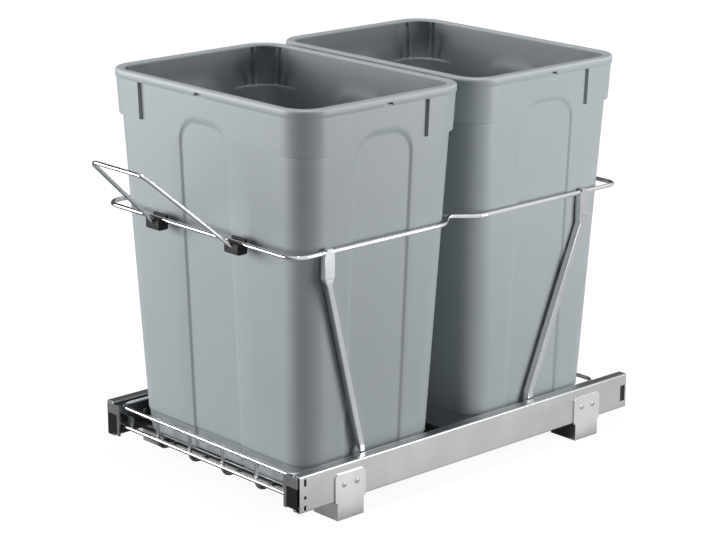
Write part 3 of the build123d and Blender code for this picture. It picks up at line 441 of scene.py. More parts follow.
def fastener_tree():
    """A turned head with a recess at every point, facing along the point's own direction."""
    recipe = Recipe("fasteners", {
        "Radius": 3.4 * MM, "Height": 1.2 * MM, "Crown": 0.8,
        "Recess": 0.9 * MM, "Recess Depth": 0.6 * MM, "Recess Sides": 16})
    given, math = recipe.given, recipe.math
    ball = recipe.node("GeometryNodeMeshUVSphere", {},
                       {"Segments": 24, "Rings": 12, "Radius": 1.0})
    x, y, z = recipe.node("ShaderNodeSeparateXYZ", {},
                          {0: recipe.node("GeometryNodeInputPosition")[0]})
    flat = math("POWER", math("ABSOLUTE", z), given["Crown"])
    tall = math("MULTIPLY", math("MULTIPLY", flat, given["Height"]), math("SIGN", z))
    wide, deep = math("MULTIPLY", x, given["Radius"]), math("MULTIPLY", y, given["Radius"])
    place = recipe.node("ShaderNodeCombineXYZ", {}, {0: wide, 1: deep, 2: tall})[0]
    head = recipe.node("GeometryNodeSetPosition", {},
                       {"Geometry": ball["Mesh"], "Position": place})
    drill = recipe.node("GeometryNodeMeshCylinder", {}, {
        "Vertices": given["Recess Sides"], "Radius": given["Recess"],
        "Depth": math("MULTIPLY", given["Recess Depth"], 2.0)})
    lift = recipe.node("ShaderNodeCombineXYZ", {}, {2: given["Height"]})[0]
    lifted = recipe.node("GeometryNodeTransform", {},
                         {"Geometry": drill["Mesh"], "Translation": lift})
    drilled = recipe.node("GeometryNodeMeshBoolean", {"operation": "DIFFERENCE"},
                          {0: head["Geometry"], 1: lifted["Geometry"]})
    turned = recipe.node("FunctionNodeAlignRotationToVector", {"axis": "Z"},
                         {"Vector": recipe.attribute("facing", "FLOAT_VECTOR")})
    heads = recipe.node("GeometryNodeInstanceOnPoints", {}, {
        "Points": given["Geometry"], "Instance": drilled["Mesh"], "Rotation": turned["Rotation"]})
    return recipe.done(heads["Instances"])


def bake(made, tree, name, **values):
    """Runs a tree on an object and keeps the result as a plain mesh; values are its inputs."""
    run = made.modifiers.new("nodes", "NODES")
    run.node_group = tree
    for item in tree.interface.items_tree:
        if item.in_out == "INPUT" and item.name.lower() in values:
            run[item.identifier] = values[item.name.lower()]
    mesh = final_mesh(made)
    mesh.name = name
    bpy.data.objects.remove(made)
    result = bpy.data.objects.new(name, mesh)
    scene.collection.objects.link(result)
    return result


fasteners = fastener_tree()


def set_fasteners(name, node, body, slot, places, **sizes):
    """One mesh of like heads; each place is a point and the direction that the head faces."""
    points = mesh_object(name + "_places", [place for place, _ in places], [])
    facing = points.data.attributes.new("facing", "FLOAT_VECTOR", "POINT")
    facing.data.foreach_set("vector", [value for _, way in places for value in way])
    made = bake(points, fasteners, name, **sizes)
    smooth(made.data, 40)
    wear(made, node, body)


bracket_steel = steel("bracket_zinc", (0.78, 0.79, 0.80), (0.66, 0.67, 0.69), 0.32, 2)
rivet_steel = steel("rivet_zinc", (0.50, 0.50, 0.51), (0.40, 0.40, 0.41), 0.48, 0)
BRACKET_EASE = 0.5 * MM
BRACKET_SEAT_X = 184.5 * MM
BRACKET_RIVET_Z = 43 * MM
BRACKET_RIVET_SPREAD = 10 * MM
BRACKET_RIVET_RADIUS = 3.4 * MM
RIVET_HEIGHT = 1.2 * MM
places = []
for end in ("front", "rear"):
    for side, sign in (("left", -1), ("right", 1)):
        node = "floor_bracket_" + end + "_" + side
        dress(node, "_sheet", BRACKET_EASE, bracket_steel, "fixed_slides")
        low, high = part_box(node)
        middle_y = (low.y + high.y) / 2
        places += [((sign * BRACKET_SEAT_X, middle_y + shift, BRACKET_RIVET_Z), (sign, 0, 0))
                   for shift in (-BRACKET_RIVET_SPREAD, BRACKET_RIVET_SPREAD)]
set_fasteners("bracket_rivet_heads", "bracket_rivets", "fixed_slides", "bracket_steel", places,
              radius=BRACKET_RIVET_RADIUS, height=RIVET_HEIGHT, finish=rivet_steel)


# ---------------------------------------------------------------- side rails of the tray
# Two rails folded from zinc-plated sheet, coloured darker than the slides, each riveted to its
# slide's inner member.  Their front ears are turned in, and each ear holds a black rubber buffer
# against the cabinet door.
RAIL_EASE = 0.4 * MM
RAIL_INNER_X = 167.8 * MM
RAIL_RIVET_YS = [y * MM for y in (-232, -120, 20, 130, 232)]
BUFFER_EASE = 1.0 * MM
rail_steel = steel("rail_zinc", (0.38, 0.39, 0.40), (0.30, 0.31, 0.32), 0.28, 1)
rubber = moulded("black_rubber", 700.0, (0.006, 0.006, 0.006), (0.014, 0.014, 0.014), 0.75,
                 0.04 * MM, 0.25)
for side, sign in (("left", -1), ("right", 1)):
    dress("side_rail_" + side, "_sheet", RAIL_EASE, rail_steel, "tray")
    low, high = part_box("rail_rivets_" + side)
    middle_z = (low.z + high.z) / 2
    places = [((sign * RAIL_INNER_X, y, middle_z), (-sign, 0, 0)) for y in RAIL_RIVET_YS]
    set_fasteners("rail_rivet_heads_" + side, "rail_rivets_" + side, "tray", "rail_steel", places,
                  radius=(high.z - low.z) / 2, height=RIVET_HEIGHT, finish=rivet_steel)
    dress("rail_buffer_" + side, "_block", BUFFER_EASE, rubber, "tray")


# ---------------------------------------------------------------- wires of the tray
# Hard-drawn steel wire, bent cold, spot-welded where it crosses and then chrome-plated as one
# frame: a top wire all round, a low front wire, and a floor of long and cross wires.
TRAY_BEND = 15 * MM
FLOOR_BEND = 12 * MM
FLOOR_WIRE_COUNT = 4
CROSS_WIRE_COUNT = 8
BEND_STEPS = 14
WIRE_SIDES = 20


def chrome(name, light, dark, clouds, roughness, smudge, depth):
    """Plated wire with faint drawing marks, and clouds of smudges that dull it."""
    finish = Finish(name)
    scale, low, high = clouds
    drawn = finish.noise(300.0, 2.0)
    smear = finish.noise(scale, 3.0).between(low, high)
    return finish.done(base_color=finish.blend(smear, light, dark), metallic=1.0,
                       roughness=roughness + smear * smudge, normal=finish.bump(drawn, depth))


bright_chrome = chrome("bright_chrome", (0.86, 0.87, 0.88), (0.74, 0.75, 0.77), (30.0, 0.45, 0.75),
                       0.05, 0.10, 0.02 * MM)
# The cross wires' colour is darkened with painted shade, for the shade under the bins; they are
# also duller than the other wires.
painted_shade_chrome = chrome("painted_shade_chrome", (0.20, 0.205, 0.21), (0.12, 0.125, 0.13), (45.0, 0.35, 0.70),
                     0.30, 0.15, 0.03 * MM)


def bent_wire_tree():
    """Rounds each corner of a chain of points by its own bend, then sweeps a round section."""
    recipe = Recipe("bent_wire", {"Radius": 2.5 * MM})
    chain = recipe.node("GeometryNodeMeshToCurve", {}, {"Mesh": recipe.given["Geometry"]})
    rounded = recipe.node("GeometryNodeFilletCurve", {"mode": "POLY"}, {
        "Curve": chain["Curve"], "Radius": recipe.attribute("bend", "FLOAT"),
        "Count": BEND_STEPS, "Limit Radius": True})
    section = recipe.node("GeometryNodeCurvePrimitiveCircle", {}, {
        "Resolution": WIRE_SIDES, "Radius": recipe.given["Radius"]})
    swept = recipe.node("GeometryNodeCurveToMesh", {}, {
        "Curve": rounded["Curve"], "Profile Curve": section["Curve"], "Fill Caps": True})
    shaded = recipe.node("GeometryNodeSetShadeSmooth", {}, {"Geometry": swept["Mesh"]})
    return recipe.done(shaded["Geometry"])


wire_tree = bent_wire_tree()


def wires(name, chains, radius, closed=False, plating=None):
    """One mesh of round wires; each chain is a list of (x, y, z, bend radius) rows."""
    vertices, bends, edges = [], [], []
    for chain in chains:
        first = len(vertices)
        vertices += [row[:3] for row in chain]
        bends += [row[3] for row in chain]
        edges += [(first + i, first + i + 1) for i in range(len(chain) - 1)]
        if closed:
            edges.append((first + len(chain) - 1, first))
    path = mesh_object(name + "_path", vertices, [], edges)
    path.data.attributes.new("bend", "FLOAT", "POINT").data.foreach_set("value", bends)
    made = bake(path, wire_tree, name, radius=radius, finish=plating or bright_chrome)
    made.data.set_sharp_from_angle(angle=radians(60))
    return made


tray_low, tray_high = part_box("tray_perimeter_wire")
TRAY_RADIUS = (tray_high.z - tray_low.z) / 2
side_x = tray_high.x - TRAY_RADIUS
tray_front, tray_rear = tray_low.y + TRAY_RADIUS, tray_high.y - TRAY_RADIUS
tray_z = (tray_low.z + tray_high.z) / 2
top_loop = [(side_x, tray_front, tray_z, TRAY_BEND), (side_x, tray_rear, tray_z, TRAY_BEND),
            (-side_x, tray_rear, tray_z, TRAY_BEND), (-side_x, tray_front, tray_z, TRAY_BEND)]
wear(wires("tray_top_wire", [top_loop], TRAY_RADIUS, closed=True), "tray_perimeter_wire", "tray")


def straight_wire(name, node, radius):
    """A straight wire along X that fills its node's box."""
    low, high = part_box(node)
    middle = (low + high) / 2
    ends = [(low.x, middle.y, middle.z, 0), (high.x, middle.y, middle.z, 0)]
    wear(wires(name, [ends], radius), node, "tray")


straight_wire("tray_low_wire", "tray_front_low_wire", TRAY_RADIUS)

low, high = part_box("tray_floor_wires")
spread = np.linspace(low.x + TRAY_RADIUS, high.x - TRAY_RADIUS, FLOOR_WIRE_COUNT)
floor_front, floor_rear = low.y + TRAY_RADIUS, high.y - TRAY_RADIUS
floor_z = low.z + TRAY_RADIUS
chains = [[(x, floor_front, high.z, 0), (x, floor_front, floor_z, FLOOR_BEND),
           (x, floor_rear, floor_z, FLOOR_BEND), (x, floor_rear, high.z, 0)] for x in spread]
wear(wires("tray_long_wires", chains, TRAY_RADIUS), "tray_floor_wires", "tray")

low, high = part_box("tray_cross_wires")
cross_z = (low.z + high.z) / 2
spread = np.linspace(low.y + TRAY_RADIUS, high.y - TRAY_RADIUS, CROSS_WIRE_COUNT)
chains = [[(low.x, y, cross_z, 0), (high.x, y, cross_z, 0)] for y in spread]
# The cross wires take the chrome that is darkened with painted shade.
cross_wires = wires("tray_short_wires", chains, TRAY_RADIUS, plating=painted_shade_chrome)
wear(cross_wires, "tray_cross_wires", "tray")


# ---------------------------------------------------------------- hoop
# One chrome wire round both bins, drawn in between them on either side.  A straight wire welded
# from waist to waist keeps the bins apart.
HOOP_BENDS = (22 * MM, 25 * MM, 8 * MM, 25 * MM, 15 * MM)
WAIST_X = 150.004 * MM
WAIST_Y = (-46 * MM, -16 * MM, 14 * MM)
hoop_low, hoop_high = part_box("retaining_hoop")
HOOP_RADIUS = (hoop_high.z - hoop_low.z) / 2
hoop_x = hoop_high.x - HOOP_RADIUS
hoop_z = (hoop_low.z + hoop_high.z) / 2
hoop_front, hoop_rear = hoop_low.y + HOOP_RADIUS, hoop_high.y - HOOP_RADIUS
corners = [(hoop_x, hoop_front), (hoop_x, WAIST_Y[0]), (WAIST_X, WAIST_Y[1]), (hoop_x, WAIST_Y[2]),
           (hoop_x, hoop_rear)]
right_half = [(x, y, hoop_z, bend) for (x, y), bend in zip(corners, HOOP_BENDS)]
left_half = [(-x, y, z, bend) for x, y, z, bend in reversed(right_half)]
wear(wires("bin_hoop", [right_half + left_half], HOOP_RADIUS, closed=True), "retaining_hoop",
     "tray")
straight_wire("hoop_divider", "divider_wire", HOOP_RADIUS)


# ---------------------------------------------------------------- struts
# Four channels folded from chrome-plated strip.  Each runs narrow from the tray up to a kink,
# widens there to hook over the hoop, and is pressed flat at its foot, where a bolt holds it to
# the rail.
STRUT_SHEET = 1.5 * MM
STRUT_DEPTH = 8.2 * MM
STRUT_BEND = 1.7 * MM
STRUT_HALF_WIDE = 7 * MM
STRUT_HALF_NARROW = {"front": 4.2 * MM, "rear": 5.4 * MM}
STRUT_KINK = 36 * MM                    # below the hoop
STRUT_FOOT = 11 * MM                    # above the tray's top wire
STRUT_CUT = 30 * MM                     # below the hoop, where the hook's own shape begins
STRUT_HOOK_EASE = 0.6 * MM
STRUT_OVERLAP = 0.3 * MM                # of the hook with the channel
STRUT_NARROWS = (-16 * MM, -7 * MM)     # from the foot
STRUT_UNFOLDS = (-7 * MM, 4 * MM)       # from the flat lug to the channel, from the foot
STRUT_WIDENS = (-5 * MM, -1 * MM)       # from the kink, and from the cut
# How far the top and the foot are from the front or rear end of the hoop and of the tray.
STRUT_INSETS = {"front": (49.5 * MM, 104.9 * MM), "rear": (64.2 * MM, 123.6 * MM)}
STRUT_BOLT = {"height": 1.6 * MM, "crown": 0.35, "recess": 1.7 * MM, "recess depth": 1.1 * MM,
              "recess sides": 6}


def ease(low, high, value):
    """0 below low, 1 above high, and a smooth S between them."""
    t = np.clip((value - low) / (high - low), 0, 1)
    return t * t * (3 - 2 * t)


def skin(name, rows):
    """Faces between rings of equal length, with the first and the last ring closed by a cap."""
    count = len(rows[0])
    faces = []
    for index in range(len(rows) - 1):
        low, high = index * count, (index + 1) * count
        faces += [(low + i, low + (i + 1) % count, high + (i + 1) % count, high + i)
                  for i in range(count)]
    last = (len(rows) - 1) * count
    faces.append(tuple(reversed(range(count))))
    faces.append(tuple(range(last, last + count)))
    return mesh_object(name, np.vstack(rows), faces)


def channel(x, y, z, half, depth, side):
    """Outline of a channel open towards the bins, with rounded bends, at one height."""
    outer, inner = [], []
    for end in (1, -1):
        for swing in np.linspace(0, pi / 2, 6)[::end]:
            round_x, round_y = sin(swing), cos(swing)
            tight = STRUT_BEND - STRUT_SHEET
            outer.append((x - STRUT_BEND * (1 - round_x),
                          y + end * (half - STRUT_BEND * (1 - round_y))))
            inner.append((x - STRUT_BEND + tight * round_x,
                          y + end * (half - STRUT_BEND + tight * round_y)))
    tip = x - max(depth, STRUT_BEND)
    ends = [(tip, y - half), (tip, y - half + STRUT_SHEET)]
    other_ends = [(tip, y + half - STRUT_SHEET), (tip, y + half)]
    return [(side * px, py, z) for px, py in outer + ends + inner[::-1] + other_ends]


def strut_rows(end, x_top, y_top, y_foot, z_base, side):
    """Outlines of the strut's channel, from the foot's flat lug up to the cut below the hook.

    They are closer together where the strut narrows, unfolds and widens.
    """
    z_foot, z_kink, z_cut = tray_z + STRUT_FOOT, hoop_z - STRUT_KINK, hoop_z - STRUT_CUT
    heights = [z_base, *np.linspace(z_foot - 16 * MM, z_foot + 5 * MM, 11),
               *np.linspace(z_foot + 20 * MM, z_kink - 14 * MM, 6),
               *np.linspace(z_kink - 8 * MM, z_cut, 9)]
    rows = []
    for z in heights:
        share = np.clip((z - z_foot) / (z_kink - z_foot), 0, 1)
        x = RAIL_INNER_X + (x_top - RAIL_INNER_X) * share
        y = y_foot + (y_top - y_foot) * share
        narrow = ease(z_foot + STRUT_NARROWS[0], z_foot + STRUT_NARROWS[1], z)
        narrow = narrow * ease(z_cut + STRUT_WIDENS[1], z_kink + STRUT_WIDENS[0], z)
        half = STRUT_HALF_WIDE + (STRUT_HALF_NARROW[end] - STRUT_HALF_WIDE) * narrow
        unfolded = ease(z_foot + STRUT_UNFOLDS[0], z_foot + STRUT_UNFOLDS[1], z)
        depth = STRUT_SHEET + (STRUT_DEPTH - STRUT_SHEET) * unfolded
        rows.append(np.array(channel(x, y, z, half, depth, side)))
    return rows


def strut_hook(name, node, z_cut):
    """The top of the node's own shape, above a level cut that is closed again."""
    hook = eased_copy(name, node, STRUT_HOOK_EASE)
    work = bmesh.new()
    work.from_mesh(hook.data)
    everything = work.verts[:] + work.edges[:] + work.faces[:]
    cut = bmesh.ops.bisect_plane(work, geom=everything, plane_co=(0, 0, z_cut),
                                 plane_no=(0, 0, 1), clear_inner=True)
    rim = [part for part in cut["geom_cut"] if isinstance(part, bmesh.types.BMEdge)]
    bmesh.ops.triangle_fill(work, edges=rim, use_beauty=True)
    work.to_mesh(hook.data)
    work.free()
    return hook


def strut_mesh(name, rows, hook):
    """Skins the channel, keeps its flat faces flat, and joins the hook to it."""
    made = skin(name, rows)
    work = bmesh.new()
    work.from_mesh(made.data)
    bmesh.ops.recalc_face_normals(work, faces=work.faces)
    work.to_mesh(made.data)
    work.free()
    smooth(made.data, 40)
    made.modifiers.new("flat_faces", "WEIGHTED_NORMAL").keep_sharp = True
    made.data = final_mesh(made)
    made.modifiers.clear()
    with bpy.context.temp_override(active_object=made, selected_editable_objects=[made, hook]):
        bpy.ops.object.join()
    made.data.materials.clear()
    made.data.materials.append(strut_chrome)
    return made


strut_chrome = steel("strut_plate", (0.69, 0.70, 0.71), (0.59, 0.60, 0.62), 0.16, 2)
foot_ys = []
for end, hoop_end, tray_end, inwards in (("front", hoop_front, tray_front, 1),
                                         ("rear", hoop_rear, tray_rear, -1)):
    top_inset, foot_inset = STRUT_INSETS[end]
    y_top, y_foot = hoop_end + inwards * top_inset, tray_end + inwards * foot_inset
    foot_ys.append(y_foot)
    for side, sign in (("left", -1), ("right", 1)):
        node = "strut_" + end + "_" + side
        low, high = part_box(node)
        rows = strut_rows(end, max(abs(low.x), abs(high.x)), y_top, y_foot, low.z, sign)
        hook = strut_hook(node + "_channel_hook", node, hoop_z - STRUT_CUT - STRUT_OVERLAP)
        wear(strut_mesh(node + "_channel", rows, hook), node, "tray")

low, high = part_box("strut_bolts")
places = [((sign * (RAIL_INNER_X - STRUT_SHEET), y, (low.z + high.z) / 2), (-sign, 0, 0))
          for sign in (-1, 1) for y in foot_ys]
set_fasteners("strut_bolt_heads", "strut_bolts", "tray", "rail_steel", places,
              radius=(high.z - low.z) / 2, finish=rail_steel, **STRUT_BOLT)


# ---------------------------------------------------------------- bail and its clips
# The bail is a handle bent from one chrome wire.  Each end is pressed into a black nylon clip that
# snaps over the hoop's front wire, so that the bail can turn on it.
BAIL_RADIUS = 2.5 * MM
BAIL_BEND = 14 * MM
BAIL_FOOT = (73 * MM, -281 * MM, 315 * MM)
BAIL_TIP_X = 48.8 * MM
BAIL_LENGTH = 144 * MM
BAIL_ANGLE = radians(39)
CLIP_EASE = 0.5 * MM
tip = (BAIL_TIP_X, hoop_front - BAIL_LENGTH * cos(BAIL_ANGLE),
       hoop_z + BAIL_LENGTH * sin(BAIL_ANGLE))
leg = [(*BAIL_FOOT, 0), (*tip, BAIL_BEND)]
other_leg = [(-x, y, z, bend) for x, y, z, bend in reversed(leg)]
wear(wires("bail_handle", [leg + other_leg], BAIL_RADIUS), "pull_bail", "bail")
for side in ("left", "right"):
    dress("bail_clip_" + side, "_moulding", CLIP_EASE, nylon, "bail")


# ---------------------------------------------------------------- bins
# Two identical bins, injection-moulded in light grey polyethylene with a satin face.  Each tapers
# to its base, has an arched panel moulded into every side, a stepped collar with inner ribs at
# each corner, and a rolled rim with a turned-down skirt that is notched in the middle of a side.
GAUGE_Z = 430 * MM                      # the wall's half sizes are given at this height
WALL_HALF = (174.596 * MM, 122.818 * MM)
WALL_TAPER = (0.0474, 0.0445)
WALL_CORNER = 34 * MM
WALL = 2.4 * MM
FLOOR = 3 * MM
PLINTH_TOP = 61 * MM
PLINTH_INSET = 1.2 * MM
BASE_ROUND = 4 * MM
COLLAR_BOTTOM = 434 * MM
COLLAR_STEP = 4.2 * MM
COLLAR_FROM = (113.5 * MM, 64.5 * MM)   # along X and along Y
POCKET_REACH = 39 * MM
POCKET_SHALLOW = 1.2 * MM
POCKET_RIBS = ((19.5 * MM, 23 * MM), (27 * MM, 33 * MM))
PANEL_HALF = 44 * MM
PANEL_TOP = 448 * MM
PANEL_CORNER = 30 * MM
PANEL_DEPTH = 2.4 * MM
PANEL_EDGE = 2.4 * MM                   # half width of its soft outer step
PANEL_INSIDE = 2.2 * MM                 # the wall thins a little at a panel
PANEL_SOFT = 9 * MM                     # and blends smoothly on the inside
ARCH_STEP = 2.5 * MM                    # between the stations under a panel's arch
RIM_CORNER = 39 * MM
RIM_THICKNESS = 3.2 * MM
RIM_SKIRT = 2.2 * MM
RIM_HEIGHT = 9.5 * MM
RIM_ROUND = 2.8 * MM
SKIRT_EDGE = 0.4 * MM                   # chamfer round the skirt's lower edge
NOTCH_HALF = 6.5 * MM
NOTCH_HEIGHT = 4 * MM
MOUTH_HALF = (170 * MM, 120 * MM)
MOUTH_CORNER = 28 * MM
MOUTH_ROUND, MOUTH_CHAMFER = 1.2 * MM, 0.35 * MM
INNER_ROUND = 5 * MM                    # from the wall to the floor inside
EDGE = 0.6 * MM                         # half width of a moulded step
CORNER_STEPS = 22

rim_low, rim_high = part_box("bin_front")
BIN_BASE = rim_low.z
BIN_TOP = rim_high.z
RIM_HALF = ((rim_high.x - rim_low.x) / 2, (rim_high.y - rim_low.y) / 2)


def wall_stations(collar_from, end):
    """Places along one wall, closer together where its notch, panel and collar begin."""
    notch = NOTCH_HALF + np.array([-1, 0, 1]) * EDGE
    arch = np.arange(PANEL_HALF - PANEL_CORNER, PANEL_HALF - 3 * MM, ARCH_STEP)
    side = PANEL_HALF + np.array([-1, -0.6, -0.2, 0.2, 0.6, 1]) * PANEL_EDGE
    plain = [(PANEL_HALF + collar_from) / 2]
    collar = collar_from + np.array([-3, -1, 0, 1, 3]) * EDGE
    reach = end - (POCKET_REACH - WALL_CORNER)
    last = [(collar[-1] + reach) / 2, reach - EDGE, reach + EDGE, end]
    half = np.concatenate([[0], notch, arch, side, plain, collar, last])
    return np.concatenate([-half[:0:-1], half])


def arc_angles():
    """Steps round a corner, with one at each side of every rib in its pocket."""
    even = np.linspace(0, pi / 2, CORNER_STEPS + 1)[1:-1]
    sides = np.array([side + shift for rib in POCKET_RIBS for side in rib
                      for shift in (-EDGE, EDGE)])
    ribs = np.arcsin(1 - (sides - WALL) / (WALL_CORNER - WALL))
    return np.unique(np.concatenate([even, ribs, pi / 2 - ribs]))


ARC_ANGLES = arc_angles()


def ring(half_x, half_y, corner):
    """Points of a rounded rectangle and its outward normals, anticlockwise seen from above."""
    along = {0: wall_stations(COLLAR_FROM[1], half_y - corner),
             1: wall_stations(COLLAR_FROM[0], half_x - corner)}
    points, normals = [], []
    for quarter in range(4):
        out = np.array([cos(quarter * pi / 2), sin(quarter * pi / 2)])
        aside = np.array([-out[1], out[0]])
        reach, other = (half_x, half_y) if quarter % 2 == 0 else (half_y, half_x)
        places = along[quarter % 2]
        points.append(reach * out + places[:, None] * aside)
        normals.append(np.tile(out, (len(places), 1)))
        turned = np.cos(ARC_ANGLES)[:, None] * out + np.sin(ARC_ANGLES)[:, None] * aside
        points.append((reach - corner) * out + (other - corner) * aside + corner * turned)
        normals.append(turned)
    return np.vstack(points), np.vstack(normals)


def wall_ring(z, grow):
    """Ring of the tapered wall at a height, grown outwards."""
    drop = GAUGE_Z - z
    half_x = WALL_HALF[0] - WALL_TAPER[0] * drop + grow
    half_y = WALL_HALF[1] - WALL_TAPER[1] * drop + grow
    return ring(half_x, half_y, WALL_CORNER + grow)


def place_on_wall(points, normals):
    """Distance along the wall from its middle, and where that wall's collar begins."""
    faces_x = np.abs(normals[:, 0]) > np.abs(normals[:, 1])
    along = np.where(faces_x, np.abs(points[:, 1]), np.abs(points[:, 0]))
    return along, np.where(faces_x, COLLAR_FROM[1], COLLAR_FROM[0])


def collar_share(points, normals, z):
    """1 on a corner's collar, 0 on the plain wall."""
    along, start = place_on_wall(points, normals)
    raised = ease(COLLAR_BOTTOM - EDGE, COLLAR_BOTTOM + EDGE, z)
    return ease(start - EDGE, start + EDGE, along) * raised


def panel_share(points, normals, z, grow, soft=PANEL_EDGE):
    """1 inside the arched panel, 0 outside it, with a moulded step between."""
    along, _ = place_on_wall(points, normals)
    past_side = along - (PANEL_HALF + grow - PANEL_CORNER)
    past_top = z - (PANEL_TOP + grow - PANEL_CORNER)
    beyond = np.hypot(np.maximum(past_side, 0), np.maximum(past_top, 0)) - PANEL_CORNER
    within = np.minimum(np.maximum(past_side, past_top), 0)
    return 1 - ease(-soft, soft, beyond + within)


def pocket_depth(points, normals, z):
    """How far the inside steps outwards within a collar, less the upright ribs."""
    along, start = place_on_wall(points, normals)
    far = np.maximum(WALL_HALF[0] - np.abs(points[:, 0]), WALL_HALF[1] - np.abs(points[:, 1]))
    deep = ease(POCKET_REACH + EDGE, POCKET_REACH - EDGE, far)
    for near, end in POCKET_RIBS:
        rib = ease(near - EDGE, near + EDGE, far) * ease(end + EDGE, end - EDGE, far)
        deep = deep * (1 - rib)
    shallow = ease(start + WALL - EDGE, start + WALL + EDGE, along)
    ledge = COLLAR_BOTTOM + WALL
    depth = np.maximum(COLLAR_STEP * deep, POCKET_SHALLOW * shallow)
    return depth * ease(ledge - EDGE, ledge + EDGE, z)


def outside_row(z):
    points, normals = wall_ring(z, 0)
    relief = COLLAR_STEP * collar_share(points, normals, z)
    relief = relief - PANEL_DEPTH * panel_share(points, normals, z, 0)
    relief = relief - PLINTH_INSET * ease(PLINTH_TOP + EDGE, PLINTH_TOP - EDGE, z)
    relief = relief - BASE_ROUND * (1 - np.sqrt(1 - ease_base(z) ** 2))
    return np.column_stack([points + normals * relief[:, None], np.full(len(points), z)])


def ease_base(z):
    """1 at the very base and 0 where its rounded edge ends."""
    return float(np.clip((BIN_BASE + BASE_ROUND - z) / BASE_ROUND, 0, 1))


def inside_row(z):
    points, normals = wall_ring(z, -WALL)
    panel = PANEL_INSIDE * panel_share(points, normals, z, WALL, PANEL_SOFT)
    relief = pocket_depth(points, normals, z) - panel
    relief = relief - PLINTH_INSET * ease(PLINTH_TOP + EDGE, PLINTH_TOP - EDGE, z)
    return np.column_stack([points + normals * relief[:, None], np.full(len(points), z)])


def rim_row(grow, z, lift=0.0):
    """Ring of the rim; lift is how far a notch raises it in the middle of each side."""
    points, normals = ring(RIM_HALF[0] + grow, RIM_HALF[1] + grow, RIM_CORNER + grow)
    along, _ = place_on_wall(points, normals)
    raised = z + lift * ease(NOTCH_HALF + EDGE, NOTCH_HALF - EDGE, along)
    return np.column_stack([points, raised])


def skirt_inside_row(z):
    """Inner face of the skirt; at a collar the hollow behind the skirt closes."""
    under = BIN_TOP - RIM_HEIGHT
    points, normals = wall_ring(under, 0)
    share = collar_share(points, normals, under)[:, None]
    plain = rim_row(-RIM_SKIRT, z, NOTCH_HEIGHT if z == under else 0.0)
    closed = np.column_stack([points + normals * COLLAR_STEP, np.full(len(points), under)])
    return plain * (1 - share) + closed * share


def wall_top_row():
    """Where the outer wall meets the underside of the rim, or the skirt's edge at a collar."""
    under = BIN_TOP - RIM_HEIGHT
    points, normals = wall_ring(BIN_TOP - RIM_THICKNESS, 0)
    share = collar_share(points, normals, under)[:, None]
    plain = np.column_stack([points, np.full(len(points), BIN_TOP - RIM_THICKNESS)])
    return plain * (1 - share) + outside_row(under) * share


def mouth_row(grow, z):
    points, _ = ring(MOUTH_HALF[0] + grow, MOUTH_HALF[1] + grow, MOUTH_CORNER + grow)
    return np.column_stack([points, np.full(len(points), z)])


def heights(*marks):
    """Heights between marks given as (height, number of steps up to the next)."""
    rows = []
    for (low, steps), (high, _) in zip(marks, marks[1:]):
        rows.extend(np.linspace(low, high, steps, endpoint=False))
    return rows + [marks[-1][0]]


def bin_rows():
    """All rings, from under the base, up the outside, over the rim and down the inside."""
    under = BIN_TOP - RIM_HEIGHT
    arch = PANEL_TOP - PANEL_CORNER
    step = 2 * EDGE
    ledge = COLLAR_BOTTOM + WALL
    outside = heights((BIN_BASE, 5), (BIN_BASE + BASE_ROUND, 3), (PLINTH_TOP - step, 4),
                      (PLINTH_TOP + step, 8), (arch, 8), (COLLAR_BOTTOM - step, 5),
                      (COLLAR_BOTTOM + step, 7), (PANEL_TOP + PANEL_EDGE, 6), (under, 0))
    rows = [outside_row(z) for z in outside[:-1]]
    rows.append(outside_row(under - EDGE / 2))
    rows.append(wall_top_row())
    rows.append(skirt_inside_row(BIN_TOP - RIM_THICKNESS))
    rows.append(skirt_inside_row(under))
    rows.append(rim_row(-SKIRT_EDGE, under, NOTCH_HEIGHT))
    rows.append(rim_row(0, under + SKIRT_EDGE, NOTCH_HEIGHT))
    rows += [rim_row(0, under + 5 * MM), rim_row(0, BIN_TOP - RIM_ROUND)]
    for turn_part in np.linspace(0.2, 1, 5):
        swing = turn_part * pi / 2
        rows.append(rim_row(-RIM_ROUND * (1 - cos(swing)), BIN_TOP - RIM_ROUND * (1 - sin(swing))))
    rows += [mouth_row(MOUTH_ROUND, BIN_TOP), mouth_row(MOUTH_CHAMFER, BIN_TOP - MOUTH_CHAMFER)]
    rows += [mouth_row(0, BIN_TOP - MOUTH_ROUND), mouth_row(0, BIN_TOP - RIM_THICKNESS)]
    inside = heights((BIN_BASE + FLOOR + INNER_ROUND, 2), (PLINTH_TOP - step, 4),
                     (PLINTH_TOP + step, 8), (arch, 8), (ledge - EDGE, 2), (ledge + EDGE, 6),
                     (PANEL_TOP + WALL + step, 5), (under, 2),
                     (BIN_TOP - RIM_THICKNESS - 0.3 * MM, 0))
    rows += [inside_row(z) for z in reversed(inside)]
    floor_z = BIN_BASE + FLOOR
    for turn_part in np.linspace(0.25, 1, 4):
        swing = turn_part * pi / 2
        row = inside_row(floor_z + INNER_ROUND * (1 - sin(swing)))
        middle = np.array([0, 0, row[0][2]])
        shrink = 1 - INNER_ROUND * (1 - cos(swing)) / RIM_HALF[1]
        rows.append(middle + (row - middle) * [shrink, shrink, 1])
    return rows
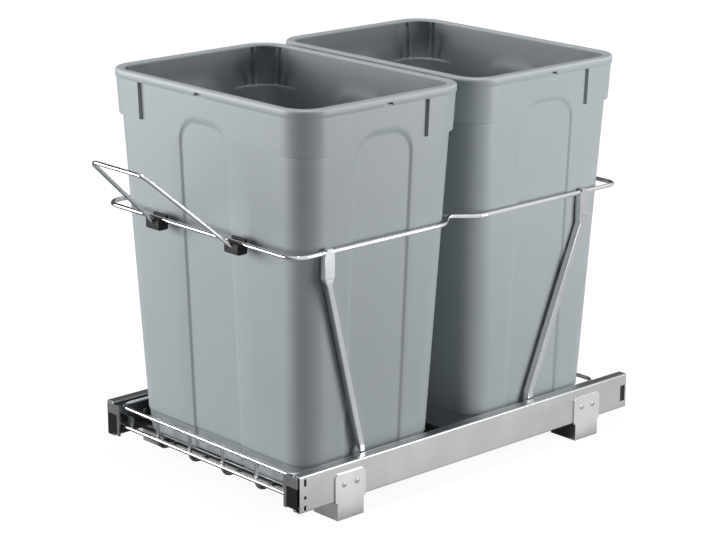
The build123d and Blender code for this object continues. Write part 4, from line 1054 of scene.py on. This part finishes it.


# Faint clouds and flow marks, a fine grain, scuffs across the walls, painted shade in the nooks
# and crevices, and a painted highlight that colours the top of the rim lighter.
GREY_TONES = (0.400, 0.446, 0.470), (0.440, 0.486, 0.508)
SCUFFED, PAINTED_SHADE_TONE, RIM_HIGHLIGHT_TONE = (0.60, 0.62, 0.63), (0.045, 0.050, 0.055), (0.64, 0.68, 0.71)
CLOUD_SCALE, FLOW_SCALE, GRAIN_SCALE, SCUFF_SCALE = 9.0, 60.0, 1900.0, 220.0
NOOK_REACH, CREVICE_REACH = 60 * MM, 14 * MM
SCUFF_RANGE, NOOK_RANGE, CREVICE_RANGE = (0.60, 0.74), (0.55, 1.0), (0.30, 0.80)
SCUFF_SHARE, PAINTED_SHADE_SHARE, RIM_HIGHLIGHT_SHARE = 0.16, 0.45, 0.60
RIM_HIGHLIGHT_BELOW_TOP = (4 * MM, 1 * MM)
GRAIN_DEPTH = 0.05 * MM
ALONE = {"only_local": True}            # the painted shade follows a bin's own shape, not its neighbours

plastic = Finish("bin_polyethylene")
cloud = plastic.noise(CLOUD_SCALE, 3.0)
flow = plastic.noise(FLOW_SCALE, 2.0, (1, 1, 0.06))
grain = plastic.noise(GRAIN_SCALE, 2.0)
scuff = plastic.noise(SCUFF_SCALE, 4.0, (0.12, 0.12, 1)).between(*SCUFF_RANGE)
# Painted shade: the colour darkens where a bin's own shape closes in on the air, in nooks and
# crevices.
painted_nook_shade = (1 - plastic.openness(NOOK_REACH, 8, ALONE)).between(*NOOK_RANGE)
painted_crevice_shade = (1 - plastic.openness(CREVICE_REACH, 8, ALONE)).between(*CREVICE_RANGE)
painted_shade = painted_nook_shade * PAINTED_SHADE_SHARE + painted_crevice_shade * PAINTED_SHADE_SHARE
height = plastic.part(plastic.place((1, 1, 1)), (0, 0, 1))
# Painted highlight: the top few millimetres of the rim are coloured lighter.
painted_rim_highlight = height.between(*(BIN_TOP - below for below in RIM_HIGHLIGHT_BELOW_TOP)) * RIM_HIGHLIGHT_SHARE
colour = plastic.blend(scuff * SCUFF_SHARE, plastic.blend(cloud, *GREY_TONES), SCUFFED)
colour = plastic.blend(painted_rim_highlight, plastic.blend(painted_shade, colour, PAINTED_SHADE_TONE), RIM_HIGHLIGHT_TONE)
plastic.done(base_color=colour, roughness=0.36 + grain * 0.12 + scuff * 0.1,
             normal=plastic.bump(grain * 0.7 + flow * 1.6, GRAIN_DEPTH))

rows = bin_rows()
for end in ("front", "rear"):
    node = "bin_" + end
    low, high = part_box(node)
    shift = np.array([0, (low.y + high.y) / 2, 0])
    moulding = skin(node + "_moulding", [row + shift for row in rows])
    smooth(moulding.data, 50)
    moulding.data.materials.append(plastic.material)
    wear(moulding, node, end + "_bin")
